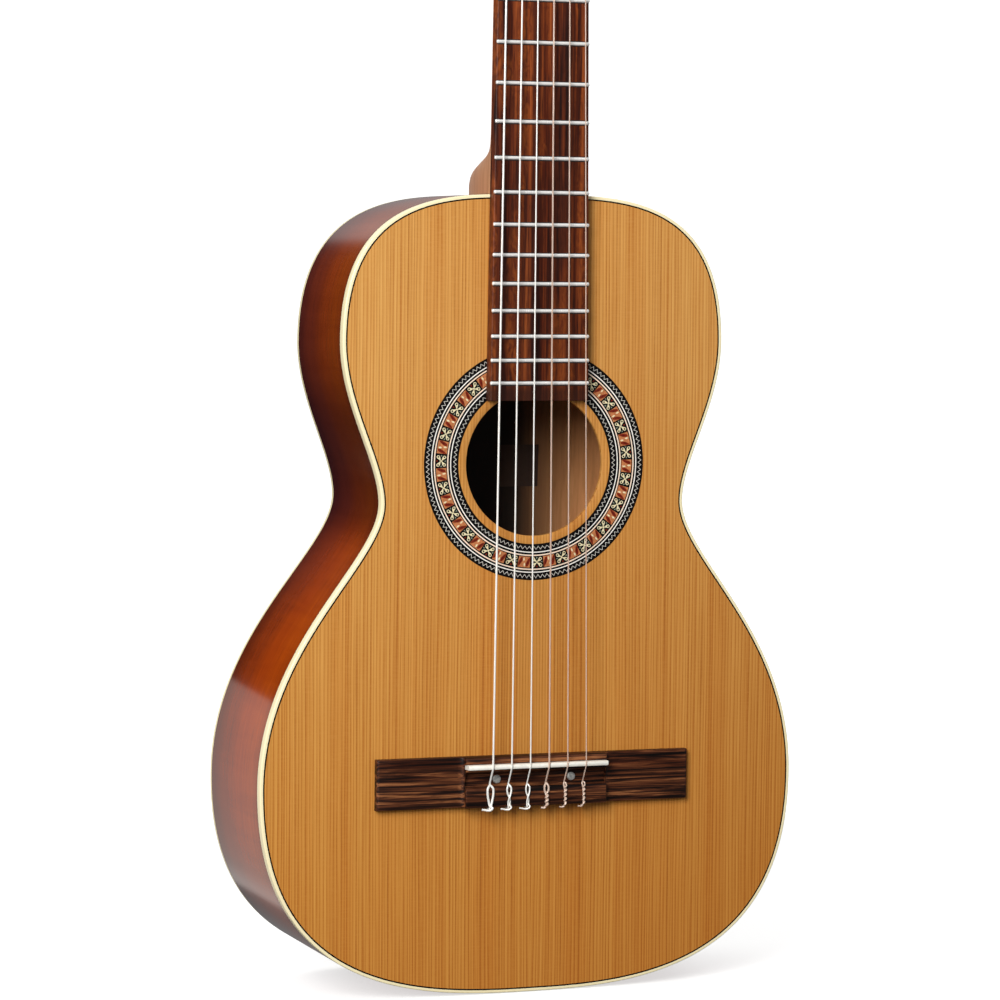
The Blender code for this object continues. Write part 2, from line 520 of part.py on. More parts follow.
PLATE_X0, PLATE_X1 = HEAD_SIDE + GAP, HEAD_SIDE + 1.3
LUG_N = 6.4
for side, tag in ((-1, "bass"), (1, "treble")):
    loop = [(h, n) for h, n in ((29, -1.8), (131.5, -1.8), (133, -3.3), (133, -15.7), (131.5, -17.2), (29, -17.2), (27.5, -15.7), (27.5, -3.3))]
    plate = prism("tuner_plate_" + tag, loop, PLATE_X0, PLATE_X1, BRASS, lambda p, x: head(side * x, p[0], p[1]))
    for k, h in enumerate(ROLLER_H):
        for j, sgn in enumerate((-1, 1)):
            n = ROLLER_N + sgn * LUG_N
            box = [(x, hh) for x, hh in ((PLATE_X1 - 0.6, h + WORM_H - 3.2), (WORM_X + 1.8, h + WORM_H - 3.2), (WORM_X + 3.2, h + WORM_H - 1.6), (WORM_X + 3.2, h + WORM_H + 1.6), (WORM_X + 1.8, h + WORM_H + 3.2), (PLATE_X1 - 0.6, h + WORM_H + 3.2))]
            lug = prism(f"add_lug_{tag}_{k}_{j}", box, n - 1.1, n + 1.1, BRASS, lambda p, q: head(side * p[0], p[1], q))
            boolean(plate, lug, "UNION", f"lug_{k}_{j}")
        bore = loft(f"cut_shaft_{tag}_{k}", [[head(side * (WORM_X + a), h + WORM_H + b, n) for a, b in circle(1.4, 12)] for n in (ROLLER_N - LUG_N - 3, ROLLER_N + LUG_N + 3)], BRASS)
        boolean(plate, bore, "DIFFERENCE", f"shaft_bore_{k}")
        eye = loft(f"cut_axle_{tag}_{k}", [[head(side * x, h + a, ROLLER_N + b) for a, b in circle(2.3, 12)] for x in (PLATE_X0 - 2, PLATE_X1 + 2)], BRASS)
        boolean(plate, eye, "DIFFERENCE", f"axle_bore_{k}")

ROLLER_OF = {1: (1, ROLLER_H[0]), 2: (1, ROLLER_H[1]), 3: (1, ROLLER_H[2]), 4: (-1, ROLLER_H[2]), 5: (-1, ROLLER_H[1]), 6: (-1, ROLLER_H[0])}
for k in STRINGS:
    side, h = ROLLER_OF[k]
    tuning_key(f"tuner_key_{k}", side, h)
    string_roller(f"string_roller_{k}", side, h)

# ---------------------------------------------------------------- strings
WRAP_X = {1: 17.6, 2: 15.6, 3: 13.4, 4: 13.4, 5: 15.6, 6: 17.6}


def tube(name, path, radius, mat, sides=6):
    """A round string along a path, with rings that turn as little as possible from one point to the next."""
    pts = [Vector(q) for q in path]
    rings, normal = [], Vector((1, 0, 0))
    for i, q in enumerate(pts):
        d = (pts[min(i + 1, len(pts) - 1)] - pts[max(i - 1, 0)]).normalized()
        normal = (normal - d * normal.dot(d)).normalized()
        other = d.cross(normal)
        rings.append([tuple(q + (normal * math.cos(2 * math.pi * j / sides) + other * math.sin(2 * math.pi * j / sides)) * radius) for j in range(sides)])
    return loft(name, rings, mat, 60)


for k in STRINGS:
    side, h = ROLLER_OF[k]
    r = STRING_D[k] / 2
    xs, xn = saddle_x(k), nut_x(k)
    lift = r + 0.12
    path = []
    # end laid over the tie block, round its back edge and through its hole
    top = -TIE_TOP - lift
    path += [(xs + 0.2, top, CHANNEL_Z0 - 1.5), (xs, top, B0 + 1.0), (xs, top + 0.9, B0 - r - 0.35), (xs, -TIE_HOLE_Y - 2.0, B0 - r - 0.6), (xs, -TIE_HOLE_Y - 0.3, B0 - r - 0.1), (xs, -TIE_HOLE_Y, B0 + 1.2)]
    path += [(xs, -TIE_HOLE_Y, CHANNEL_Z0 - 0.5), (xs, -TIE_HOLE_Y - 0.35, CHANNEL_Z0 + 1.4)]
    path += [(xs, -SADDLE_TOP + 0.2 - lift, Z_SADDLE - 1.9), (xs, -SADDLE_TOP - lift, Z_SADDLE - 0.4), (xs, -SADDLE_TOP - lift - 0.02, Z_SADDLE + 0.5)]
    # straight to the nut, then down into the slot
    path += [(xn, -NUT_TOP - lift, Z_NUT + 0.6), (xn, -NUT_TOP - lift + 0.35, Z_NUT + 2.4)]
    # round the roller one and a half times, from the front of the head over to the back
    rr = ROLLER_R + lift + 0.15
    x0, pitch, per_turn, turns = WRAP_X[k], 2 * r + 0.25, 10, 1.6
    start = math.radians(96.0)
    for i in range(int(per_turn * turns) + 1):
        a = start - 2 * math.pi * i / per_turn
        x = side * (x0 + pitch * i / per_turn)
        path.append(head(x, h + rr * math.cos(a), ROLLER_N + rr * math.sin(a)))
    tube(f"string_{k}", path, r, NYLON if k <= 3 else WOUND)
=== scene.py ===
import math

import bmesh
import bpy
import numpy as np
from mathutils import Matrix, Vector


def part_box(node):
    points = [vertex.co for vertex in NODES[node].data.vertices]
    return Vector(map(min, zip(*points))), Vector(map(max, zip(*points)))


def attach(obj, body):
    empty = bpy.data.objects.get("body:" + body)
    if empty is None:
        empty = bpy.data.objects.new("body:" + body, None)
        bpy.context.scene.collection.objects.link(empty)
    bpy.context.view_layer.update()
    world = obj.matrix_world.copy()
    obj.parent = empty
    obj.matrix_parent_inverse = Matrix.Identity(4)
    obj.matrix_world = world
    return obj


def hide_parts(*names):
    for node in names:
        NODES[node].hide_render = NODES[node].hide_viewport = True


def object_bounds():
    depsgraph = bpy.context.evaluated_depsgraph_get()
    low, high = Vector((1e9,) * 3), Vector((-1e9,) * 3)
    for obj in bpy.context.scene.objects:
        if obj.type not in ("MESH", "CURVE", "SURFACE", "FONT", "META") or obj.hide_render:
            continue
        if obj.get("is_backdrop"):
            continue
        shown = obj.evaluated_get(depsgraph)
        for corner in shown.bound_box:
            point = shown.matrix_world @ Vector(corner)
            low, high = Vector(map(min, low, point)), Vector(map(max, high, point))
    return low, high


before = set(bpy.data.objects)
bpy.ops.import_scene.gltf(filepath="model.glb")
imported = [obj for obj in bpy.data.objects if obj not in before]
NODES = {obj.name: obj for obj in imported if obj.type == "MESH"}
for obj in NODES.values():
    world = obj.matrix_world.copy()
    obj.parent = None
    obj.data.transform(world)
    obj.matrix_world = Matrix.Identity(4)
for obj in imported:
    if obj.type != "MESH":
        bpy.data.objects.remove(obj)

CAD_LO, CAD_HI = (tuple(v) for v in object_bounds())
scene = bpy.context.scene
MM = 0.001
Y0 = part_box("soundboard")[0].y          # the face of the soundboard

# the same driving sizes as the CAD part, in mm, in its frame: x across, y into the body, z up from the tail
SCALE, Z_LINE = 650.0, 134.0
Z_NUT, Z_SADDLE = 784.0, 132.5
BODY_LENGTH = 458.0
LOWER_BOUT, WAIST, UPPER_BOUT = (162.5, 122.0), (92.0, 282.5), (115.5, 374.5)
DEPTH_TAIL, DEPTH_HEEL = 108.5, 82.5
HOLE_R, HOLE_Z = 41.5, 304.8
BOARD_T, BOARD_END_Z = 7.0, 340.8
TILT = math.radians(15.0)
HEAD_Y0, HEAD_Z0 = -1.6, 789.1
ROLLER_H, ROLLER_N, ROLLER_R = (45.0, 80.0, 115.0), -9.5, 5.0
STRING_D = {1: 0.71, 2: 0.82, 3: 1.02, 4: 0.76, 5: 0.89, 6: 1.10}


def P(x, y, z):
    return (x * MM, Y0 + y * MM, z * MM)


# ================================================================= materials
def srgb(r, g, b):
    def f(c):
        c /= 255.0
        return c / 12.92 if c <= 0.04045 else ((c + 0.055) / 1.055) ** 2.4
    return (f(r), f(g), f(b), 1.0)


class Mat:
    """A procedural material under construction."""

    def __init__(self, name, rough=0.4, metal=0.0, coat=0.0, coat_rough=0.1, spec=0.5):
        self.m = bpy.data.materials.new(name)
        self.m.use_nodes = True
        self.t = self.m.node_tree
        self.b = self.t.nodes["Principled BSDF"]
        self.set("Roughness", rough)
        self.set("Metallic", metal)
        self.set("Coat Weight", coat)
        self.set("Coat Roughness", coat_rough)
        self.set("Specular IOR Level", spec)
        self.co = self.t.nodes.new("ShaderNodeTexCoord").outputs["Object"]

    def set(self, name, value):
        self.b.inputs[name].default_value = value

    def link(self, a, b):
        self.t.links.new(a, b)

    def node(self, kind, **inputs):
        n = self.t.nodes.new(kind)
        for k, v in inputs.items():
            k = k.replace("_", " ")
            if isinstance(v, bpy.types.NodeSocket):
                self.link(v, n.inputs[k])
            else:
                n.inputs[k].default_value = v
        return n

    def math(self, op, a, b=None, c=None, clamp=False):
        n = self.t.nodes.new("ShaderNodeMath")
        n.operation = op
        n.use_clamp = clamp
        for i, v in enumerate((a, b, c)):
            if v is None:
                continue
            if isinstance(v, bpy.types.NodeSocket):
                self.link(v, n.inputs[i])
            else:
                n.inputs[i].default_value = v
        return n.outputs[0]

    def xyz(self, vec=None):
        n = self.t.nodes.new("ShaderNodeSeparateXYZ")
        self.link(vec or self.co, n.inputs[0])
        return n.outputs

    def vec(self, x, y, z):
        n = self.t.nodes.new("ShaderNodeCombineXYZ")
        for i, v in enumerate((x, y, z)):
            if isinstance(v, bpy.types.NodeSocket):
                self.link(v, n.inputs[i])
            else:
                n.inputs[i].default_value = v
        return n.outputs[0]

    def stretch(self, sx, sy, sz, vec=None):
        n = self.t.nodes.new("ShaderNodeMapping")
        self.link(vec or self.co, n.inputs["Vector"])
        n.inputs["Scale"].default_value = (sx, sy, sz)
        return n.outputs[0]

    def noise(self, vec, scale=1.0, detail=3.0, rough=0.55, distort=0.0):
        n = self.node("ShaderNodeTexNoise", Vector=vec, Scale=scale, Detail=detail, Roughness=rough, Distortion=distort)
        return n.outputs[0]

    def ramp(self, fac, *stops, ease=False):
        n = self.t.nodes.new("ShaderNodeValToRGB")
        if ease:
            n.color_ramp.interpolation = "EASE"
        e = n.color_ramp.elements
        while len(e) < len(stops):
            e.new(0.5)
        for s, (pos, col) in zip(e, stops):
            s.position = pos
            s.color = col if len(col) == 4 else (*col, 1.0)
        self.link(fac, n.inputs[0])
        return n.outputs[0]

    def mix(self, fac, a, b, mode="MIX"):
        n = self.t.nodes.new("ShaderNodeMix")
        n.data_type = "RGBA"
        n.blend_type = mode
        for i, v in ((0, fac), (6, a), (7, b)):
            if isinstance(v, bpy.types.NodeSocket):
                self.link(v, n.inputs[i])
            else:
                n.inputs[i].default_value = v
        return n.outputs[2]

    def range(self, v, a, b, c=0.0, d=1.0, smooth=False):
        n = self.t.nodes.new("ShaderNodeMapRange")
        if smooth:
            n.interpolation_type = "SMOOTHSTEP"
        self.link(v, n.inputs[0])
        for i, q in zip((1, 2, 3, 4), (a, b, c, d)):
            n.inputs[i].default_value = q
        return n.outputs[0]

    def colour(self, c):
        if isinstance(c, bpy.types.NodeSocket):
            self.link(c, self.b.inputs["Base Color"])
        else:
            self.set("Base Color", c)

    def bump(self, height, strength=0.3, distance=0.0002):
        n = self.t.nodes.new("ShaderNodeBump")
        n.inputs["Strength"].default_value = strength
        n.inputs["Distance"].default_value = distance
        self.link(height, n.inputs["Height"])
        self.link(n.outputs[0], self.b.inputs["Normal"])


def grey(v):
    return (v, v, v, 1.0)


# the tones of the woods
TOP_LIT, TOP_MID, TOP_LOW, TOP_DARK = srgb(237, 184, 108), srgb(220, 163, 88), srgb(195, 131, 61), srgb(153, 94, 38)
# painted shade on the top: the tail tint and TOP_SHADE deepen it towards the tail and the treble side
TOP_TAIL_SHADE = srgb(250, 238, 206)
TOP_SHADE = 0.55
SIDE_A, SIDE_B, SIDE_C, SIDE_D, SIDE_E = srgb(164, 67, 18), srgb(182, 75, 14), srgb(172, 67, 17), srgb(144, 55, 26), srgb(108, 41, 28)
WAIST_SHADE = 0.33
WOOD_Z = ((0.32, srgb(32, 14, 12)), (0.42, srgb(74, 32, 20)), (0.53, srgb(118, 54, 26)), (0.66, srgb(166, 88, 42)))
WOOD_X = ((0.37, srgb(14, 7, 5)), (0.45, srgb(44, 22, 14)), (0.54, srgb(98, 54, 32)), (0.63, srgb(160, 102, 62)))


# ---- cedar top: fine straight grain, wider colour bands, a little silk across it, under satin lacquer
def cedar():
    k = Mat("cedar_top", rough=0.42, coat=0.08, coat_rough=0.22, spec=0.25)
    x, y, z = k.xyz()
    ax = k.math("ABSOLUTE", x)
    wander = k.noise(k.stretch(9, 1, 2.2), 1.0, 2.0)
    uneven = k.noise(k.vec(k.math("MULTIPLY", ax, 75.0), 0.0, k.math("MULTIPLY", z, 0.6)), 1.0, 2.0)
    gx = k.math("MULTIPLY_ADD", wander, 0.006, ax)
    gx = k.math("MULTIPLY_ADD", uneven, 0.0060, gx)
    lines = k.t.nodes.new("ShaderNodeTexWave")
    lines.wave_type, lines.bands_direction, lines.wave_profile = "BANDS", "X", "SAW"
    k.link(k.vec(gx, 0.0, 0.0), lines.inputs["Vector"])
    lines.inputs["Scale"].default_value = 158.0
    lines.inputs["Distortion"].default_value = 0.0
    late = k.math("POWER", lines.outputs[1], 2.4)
    streak = k.noise(k.vec(k.math("MULTIPLY", gx, 520.0), 0.0, k.math("MULTIPLY", z, 3.5)), 1.0, 4.0, 0.62)
    fine = k.noise(k.vec(k.math("MULTIPLY", gx, 2400.0), 0.0, k.math("MULTIPLY", z, 24.0)), 1.0, 2.0, 0.5)
    bands = k.noise(k.vec(k.math("MULTIPLY", gx, 48.0), 0.0, k.math("MULTIPLY", z, 0.9)), 1.0, 3.0, 0.6)
    silk = k.noise(k.vec(k.math("MULTIPLY", x, 130.0), 0.0, k.math("MULTIPLY", z, 1100.0)), 1.0, 2.0, 0.6)
    g = k.math("ADD", k.math("MULTIPLY", late, 0.32), k.math("MULTIPLY", streak, 0.76))
    g = k.math("MULTIPLY_ADD", k.math("SUBTRACT", fine, 0.5), 0.40, g)
    base = k.ramp(g, (0.18, TOP_LIT), (0.42, TOP_MID), (0.66, TOP_LOW), (0.92, TOP_DARK))
    base = k.mix(k.range(bands, 0.30, 0.68, 0.0, 0.60), base, k.mix(1.0, base, srgb(232, 200, 158), "MULTIPLY"))
    base = k.mix(k.range(silk, 0.42, 0.74, 0.0, 0.20), base, srgb(222, 168, 96))
    # painted shade: the top is darker and deeper in colour towards the tail and the treble side, standing in for light
    # falling from the upper bass side
    slant = k.math("SUBTRACT", k.math("MULTIPLY", x, 0.9), z)
    base = k.mix(k.range(slant, -0.42, 0.06, 0.0, TOP_SHADE), base, k.mix(1.0, base, srgb(214, 190, 160), "MULTIPLY"))
    base = k.mix(k.range(z, 0.36, 0.06, 0.0, 1.0), base, k.mix(1.0, base, TOP_TAIL_SHADE, "MULTIPLY"))
    k.colour(base)
    k.bump(g, 0.12, 0.0001)
    return k.m


# ---- stained sides: orange in the middle, dark red-brown towards the back edge; darker round the waist, partly as painted shade
def stained(name, back=False):
    k = Mat(name, rough=0.13, coat=0.0, spec=0.5)
    x, y, z = k.xyz()
    if back:
        d = k.t.nodes.new("ShaderNodeAttribute")
        d.attribute_name = "edge"
        t = d.outputs["Fac"]
        col = k.ramp(t, (0.0, srgb(58, 22, 14)), (0.22, srgb(98, 38, 16)), (0.50, srgb(146, 62, 18)), (1.0, srgb(176, 88, 28)), ease=True)
        g = k.noise(k.stretch(260, 20, 5), 1.0, 4.0, 0.6, 0.4)
        pores = k.noise(k.stretch(1500, 20, 60), 1.0, 2.0, 0.5)
        flame = k.noise(k.stretch(14, 1, 60), 1.0, 2.0, 0.5, 0.8)
    else:
        # t runs from the front edge to the back edge whatever the depth of the body is at that height
        yy = k.math("SUBTRACT", y, Y0)
        t = k.math("DIVIDE", yy, k.math("MULTIPLY_ADD", z, (DEPTH_HEEL - DEPTH_TAIL) / BODY_LENGTH, DEPTH_TAIL * MM))
        col = k.ramp(t, (0.03, SIDE_A), (0.20, SIDE_B), (0.42, SIDE_C), (0.70, SIDE_D), (0.97, SIDE_E), ease=True)
        # darker round the waist and up to the heel, and less blue on the slope below the waist: partly the stain,
        # partly painted shade standing in for how the light falls on the curve
        stain_and_shade = k.ramp(k.math("DIVIDE", z, BODY_LENGTH * MM), (0.0, (0.98, 0.98, 0.9, 1)), (0.46, (1.0, 1.0, 0.4, 1)), (0.54, (0.86, 0.84, 0.7, 1)), (0.61, (WAIST_SHADE, WAIST_SHADE * 1.1, 0.85, 1)), (0.70, (WAIST_SHADE, WAIST_SHADE * 1.15, 1.0, 1)), (0.80, (0.56, 0.64, 1.0, 1)), (1.0, (0.72, 0.80, 1.0, 1)), ease=True)
        col = k.mix(1.0, col, stain_and_shade, "MULTIPLY")
        g = k.noise(k.stretch(16, 380, 16), 1.0, 4.0, 0.6, 0.6)
        pores = k.noise(k.stretch(70, 1700, 70), 1.0, 2.0, 0.5)
        flame = k.noise(k.stretch(90, 8, 90), 1.0, 2.0, 0.5, 0.8)
    col = k.mix(k.range(g, 0.35, 0.75, 0.0, 0.30), col, k.mix(1.0, col, srgb(150, 120, 110), "MULTIPLY"))
    col = k.mix(k.range(flame, 0.42, 0.66, 0.0, 0.22), col, k.mix(1.0, col, srgb(190, 150, 130), "MULTIPLY"))
    col = k.mix(k.range(pores, 0.52, 0.80, 0.0, 0.45), col, k.mix(1.0, col, srgb(110, 80, 76), "MULTIPLY"))
    k.colour(col)
    k.bump(pores, 0.03, 0.00005)
    return k.m


# ---- rosewood, with its grain along z (fingerboard, head) or along x (bridge)
def rosewood(name, along="z", bright=1.0, gloss=0.42, spec=0.22):
    k = Mat(name, rough=gloss, spec=spec)
    s = (360, 300, 8) if along == "z" else (14, 330, 430)
    f = (2300, 1200, 70) if along == "z" else (70, 1500, 2300)
    w = (120, 60, 2.5) if along == "z" else (5, 90, 170)
    a = k.noise(k.stretch(*s), 1.0, 4.0, 0.60, 0.6)
    b = k.noise(k.stretch(*w), 1.0, 2.0, 0.5, 0.5)
    c = k.noise(k.stretch(*f), 1.0, 2.0, 0.6)
    col = k.ramp(a, *(WOOD_Z if along == "z" else WOOD_X))
    dark = WOOD_Z[0][1] if along == "z" else WOOD_X[0][1]
    col = k.mix(k.range(b, 0.40, 0.62, 0.0, 0.80), col, k.mix(1.0, col, srgb(150, 112, 108), "MULTIPLY"))
    col = k.mix(k.range(c, 0.54, 0.66, 0.0, 0.75), col, dark)
    if along == "z":
        # wide patches: warm orange-brown towards the middle, purple-brown elsewhere
        p = k.noise(k.stretch(85, 40, 7), 1.0, 3.0, 0.6, 0.8)
        q = k.noise(k.stretch(420, 200, 150), 1.0, 3.0, 0.6, 0.9)
        col = k.mix(k.range(p, 0.50, 0.64, 0.0, 0.60), col, k.mix(k.range(q, 0.36, 0.62, 0.0, 1.0), srgb(170, 88, 34), srgb(98, 42, 20)))
        col = k.mix(k.range(p, 0.46, 0.34, 0.0, 0.50), col, k.mix(k.range(q, 0.36, 0.62, 0.0, 1.0), srgb(66, 32, 24), srgb(28, 14, 13)))
        x, y, zz = k.xyz()
        col = k.mix(k.range(zz, 0.352, 0.346, 0.0, 0.75), col, srgb(52, 27, 20))
        col = k.mix(k.range(zz, 0.62, 0.40, 0.0, 0.45), col, k.mix(1.0, col, grey(0.40), "MULTIPLY"))
        col = k.mix(1.0, col, (1.18, 1.12, 1.05, 1), "MULTIPLY")
    if bright != 1.0:
        col = k.mix(1.0, col, grey(bright), "MULTIPLY")
    k.colour(col)
    k.bump(k.math("ADD", c, a), 0.25, 0.00012)
    return k.m


def pale_wood(name, light, mid, dark, along="z", rough=0.42, coat=0.25, shade_inside=False):
    k = Mat(name, rough=rough, coat=coat, coat_rough=0.2)
    s = (240, 240, 9) if along == "z" else (9, 240, 240)
    f = (1400, 1400, 70) if along == "z" else (70, 1400, 1400)
    a = k.noise(k.stretch(*s), 1.0, 4.0, 0.6, 1.2)
    c = k.noise(k.stretch(*f), 1.0, 2.0, 0.5)
    col = k.ramp(a, (0.30, light), (0.55, mid), (0.82, dark))
    col = k.mix(k.range(c, 0.55, 0.80, 0.0, 0.30), col, dark)
    # painted shade: the inside is darkened to near black where x is below about 22 mm, fading out by 66 mm
    if shade_inside:
        x, y, z = k.xyz()
        col = k.mix(k.range(x, 0.066, 0.022, 0.0, 1.0), col, k.mix(1.0, col, grey(0.025), "MULTIPLY"))
    k.colour(col)
    k.bump(c, 0.08, 0.0001)
    return k.m


def plastic(name, c, rough=0.25, cloud=0.10, coat=0.4, scale=90.0, tint=None):
    k = Mat(name, rough=rough, coat=coat, coat_rough=0.08)
    n = k.noise(k.stretch(1, 1, 1), scale, 3.0, 0.6, 0.6)
    t = tint or tuple(v * 0.72 for v in c[:3]) + (1.0,)
    k.colour(k.mix(k.range(n, 0.40, 0.75, 0.0, cloud * 4), c, t))
    k.bump(n, 0.03, 0.0001)
    return k.m


def metal(name, c, rough=0.22, brush=(60, 60, 2500), wear=0.25, metallic=1.0):
    k = Mat(name, rough=rough, metal=metallic)
    n = k.noise(k.stretch(*brush), 1.0, 3.0, 0.6)
    m = k.noise(k.stretch(1, 1, 1), 160.0, 4.0, 0.65)
    col = k.mix(k.range(m, 0.45, 0.75, 0.0, wear), c, tuple(v * 0.55 for v in c[:3]) + (1.0,))
    k.colour(col)
    k.link(k.range(n, 0.3, 0.8, rough * 0.7, rough * 1.5), k.b.inputs["Roughness"])
    k.bump(n, 0.05, 0.00005)
    return k.m


def flat_inlay(name, c, vary=0.12, scale=700.0):
    k = Mat(name, rough=0.38, spec=0.15)
    n = k.noise(k.stretch(1, 0.2, 1), scale, 2.0, 0.5)
    k.colour(k.mix(k.range(n, 0.35, 0.75, 0.0, vary * 3), c, tuple(v * 0.6 for v in c[:3]) + (1.0,)))
    return k.m


CEDAR = cedar()
SIDES = stained("stained_sides")
BACK = stained("stained_back", back=True)
BOARD = rosewood("rosewood_fingerboard", "z", 0.92)
BRIDGE = rosewood("rosewood_bridge", "x", 0.87, 0.45, 0.18)
VENEER = rosewood("rosewood_head", "z", 0.8, 0.22)
NECK = pale_wood("neck_maple", srgb(216, 162, 119), srgb(200, 142, 100), srgb(168, 109, 71))
# the inside wood and the braces carry painted shade on the bass side of the body's interior
INSIDE = pale_wood("unfinished_inside", srgb(238, 168, 108), srgb(222, 152, 94), srgb(188, 126, 76), rough=0.75, coat=0.0, shade_inside=True)
SPRUCE = pale_wood("brace_spruce", srgb(172, 138, 94), srgb(154, 118, 76), srgb(124, 90, 54), rough=0.6, coat=0.0, shade_inside=True)
BINDING = plastic("cream_binding", srgb(255, 241, 196), 0.34, 0.04, 0.2, 60.0, srgb(246, 226, 174))
BONE = plastic("bone", srgb(252, 249, 238), 0.32, 0.08, 0.3, 400.0, srgb(206, 196, 168))
PEARL = plastic("pearl_dot", srgb(186, 186, 180), 0.16, 0.22, 0.6, 700.0, srgb(96, 98, 102))
BUTTON = plastic("pearl_button", srgb(238, 230, 212), 0.16, 0.16, 0.8, 260.0, srgb(198, 184, 156))
ROLLER = plastic("roller_white", srgb(232, 226, 208), 0.35, 0.08, 0.2, 300.0)
NICKEL = metal("fret_nickel", (0.98, 0.97, 0.94, 1), 0.22, (2500, 60, 60), 0.03, 0.30)
BRASS = metal("tuner_brass", (0.80, 0.62, 0.30, 1), 0.22, (60, 1800, 60), 0.30)
STEEL = metal("worm_steel", (0.70, 0.70, 0.70, 1), 0.26, (900, 900, 900), 0.3)
BLACK = flat_inlay("inlay_black", srgb(13, 11, 12), 0.10)
PAPER = plastic("label_paper", srgb(70, 50, 38), 0.8, 0.06, 0.0, 300.0, srgb(54, 40, 32))
WHITE = flat_inlay("inlay_white", srgb(252, 248, 240), 0.04)
DULL = flat_inlay("inlay_grey_white", srgb(224, 220, 210), 0.12)
RED = flat_inlay("inlay_red", srgb(132, 42, 26), 0.30)
ORANGE = flat_inlay("inlay_orange", srgb(206, 130, 82), 0.34, 1100.0)
CREAM = flat_inlay("inlay_cream", srgb(238, 226, 184), 0.12)
GREEN = flat_inlay("inlay_grey_green", srgb(140, 150, 132), 0.2)
PINK = flat_inlay("inlay_peach", srgb(254, 230, 206), 0.06)


def nylon():
    k = Mat("nylon", rough=0.16)
    n = k.noise(k.stretch(2000, 2000, 60), 1.0, 2.0)
    k.colour(k.mix(k.range(n, 0.3, 0.7), srgb(244, 222, 206), srgb(232, 202, 182)))
    k.set("Transmission Weight", 0.45)
    k.set("IOR", 1.53)
    return k.m


def winding(name, c):
    k = Mat(name, rough=0.32, metal=0.2)
    w = k.t.nodes.new("ShaderNodeTexWave")
    w.wave_type, w.bands_direction, w.wave_profile = "BANDS", "DIAGONAL", "SIN"
    k.link(k.co, w.inputs["Vector"])
    w.inputs["Scale"].default_value = 620.0
    w.inputs["Distortion"].default_value = 0.0
    n = k.noise(k.stretch(1, 1, 1), 60.0, 2.0)
    k.colour(k.mix(k.range(n, 0.35, 0.75, 0.0, 0.35), c, tuple(v * 0.8 for v in c[:3]) + (1.0,)))
    k.bump(w.outputs[1], 0.5, 0.00008)
    return k.m


# near-black strips beside the frets: painted shadow
FRET_SHADOW_PAINT = plastic("painted_fret_shadow_dark", srgb(30, 15, 12), 0.6, 0.05, 0.0)
NYLON = nylon()
KNOT = plastic("nylon_knot", srgb(226, 200, 180), 0.10, 0.12, 0.8, 900.0, srgb(140, 92, 76))
WOUND = winding("silver_winding", (1.0, 0.98, 0.92, 1))


# ================================================================= mesh helpers
def make(name, verts, faces, mat, body="guitar", replaces=(), slot=None, smooth=38, bevel=0.0, segs=3, recalc=True, attr=None, face_mats=None, extra_mats=()):
    me = bpy.data.meshes.new(name)
    me.from_pydata([tuple(v) for v in verts], [], faces)
    if attr is not None:
        a = me.attributes.new("edge", "FLOAT", "POINT")
        a.data.foreach_set("value", np.asarray(attr, np.float32))
    if recalc:
        bm = bmesh.new()
        bm.from_mesh(me)
        bmesh.ops.recalc_face_normals(bm, faces=bm.faces)
        bm.to_mesh(me)
        bm.free()
    me.materials.append(mat)
    for m in extra_mats:
        me.materials.append(m)
    if face_mats is not None:
        me.polygons.foreach_set("material_index", np.asarray(face_mats, np.int32))
    if smooth:
        me.shade_smooth()
        me.set_sharp_from_angle(angle=math.radians(smooth))
    o = bpy.data.objects.new(name, me)
    scene.collection.objects.link(o)
    if bevel:
        b = o.modifiers.new("bevel", "BEVEL")
        b.width = bevel * MM
        b.segments = segs
        b.limit_method = "ANGLE"
        b.angle_limit = math.radians(38)
        b.harden_normals = False
    if body:
        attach(o, body)
    if replaces:
        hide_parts(*replaces)
    return o


def loft(rings, closed=True, caps=True):
    """Vertices and faces through equal rings of points (already in row coordinates)."""
    n = len(rings[0])
    verts = [v for r in rings for v in r]
    faces = []
    for k in range(len(rings) - 1):
        for i in range(n if closed else n - 1):
            j = (i + 1) % n
            faces.append((k * n + i, k * n + j, (k + 1) * n + j, (k + 1) * n + i))
    if caps:
        faces.append(tuple(range(n)))
        faces.append(tuple(range(len(verts) - 1, len(verts) - 1 - n, -1)))
    return verts, faces


def join(parts):
    verts, faces = [], []
    for v, f in parts:
        k = len(verts)
        verts += list(v)
        faces += [tuple(i + k for i in q) for q in f]
    return verts, faces


def prism(loop, a, b, to):
    return loft([[to(p, a) for p in loop], [to(p, b) for p in loop]])


def head(x, h, n):
    s, c = math.sin(TILT), math.cos(TILT)
    return P(x, HEAD_Y0 + h * s - n * c, HEAD_Z0 + h * c + n * s)


def spline(pts, per=8):
    """Catmull-Rom through the points."""
    p = np.array(pts, float)
    p = np.vstack([2 * p[0] - p[1], p, 2 * p[-1] - p[-2]])
    out = []
    for i in range(1, len(p) - 2):
        for t in np.linspace(0, 1, per, endpoint=False):
            a, b, c, d = p[i - 1], p[i], p[i + 1], p[i + 2]
            out.append(0.5 * ((2 * b) + (-a + c) * t + (2 * a - 5 * b + 4 * c - d) * t * t + (-a + 3 * b - 3 * c + d) * t ** 3))
    out.append(p[-2])
    return np.array(out)


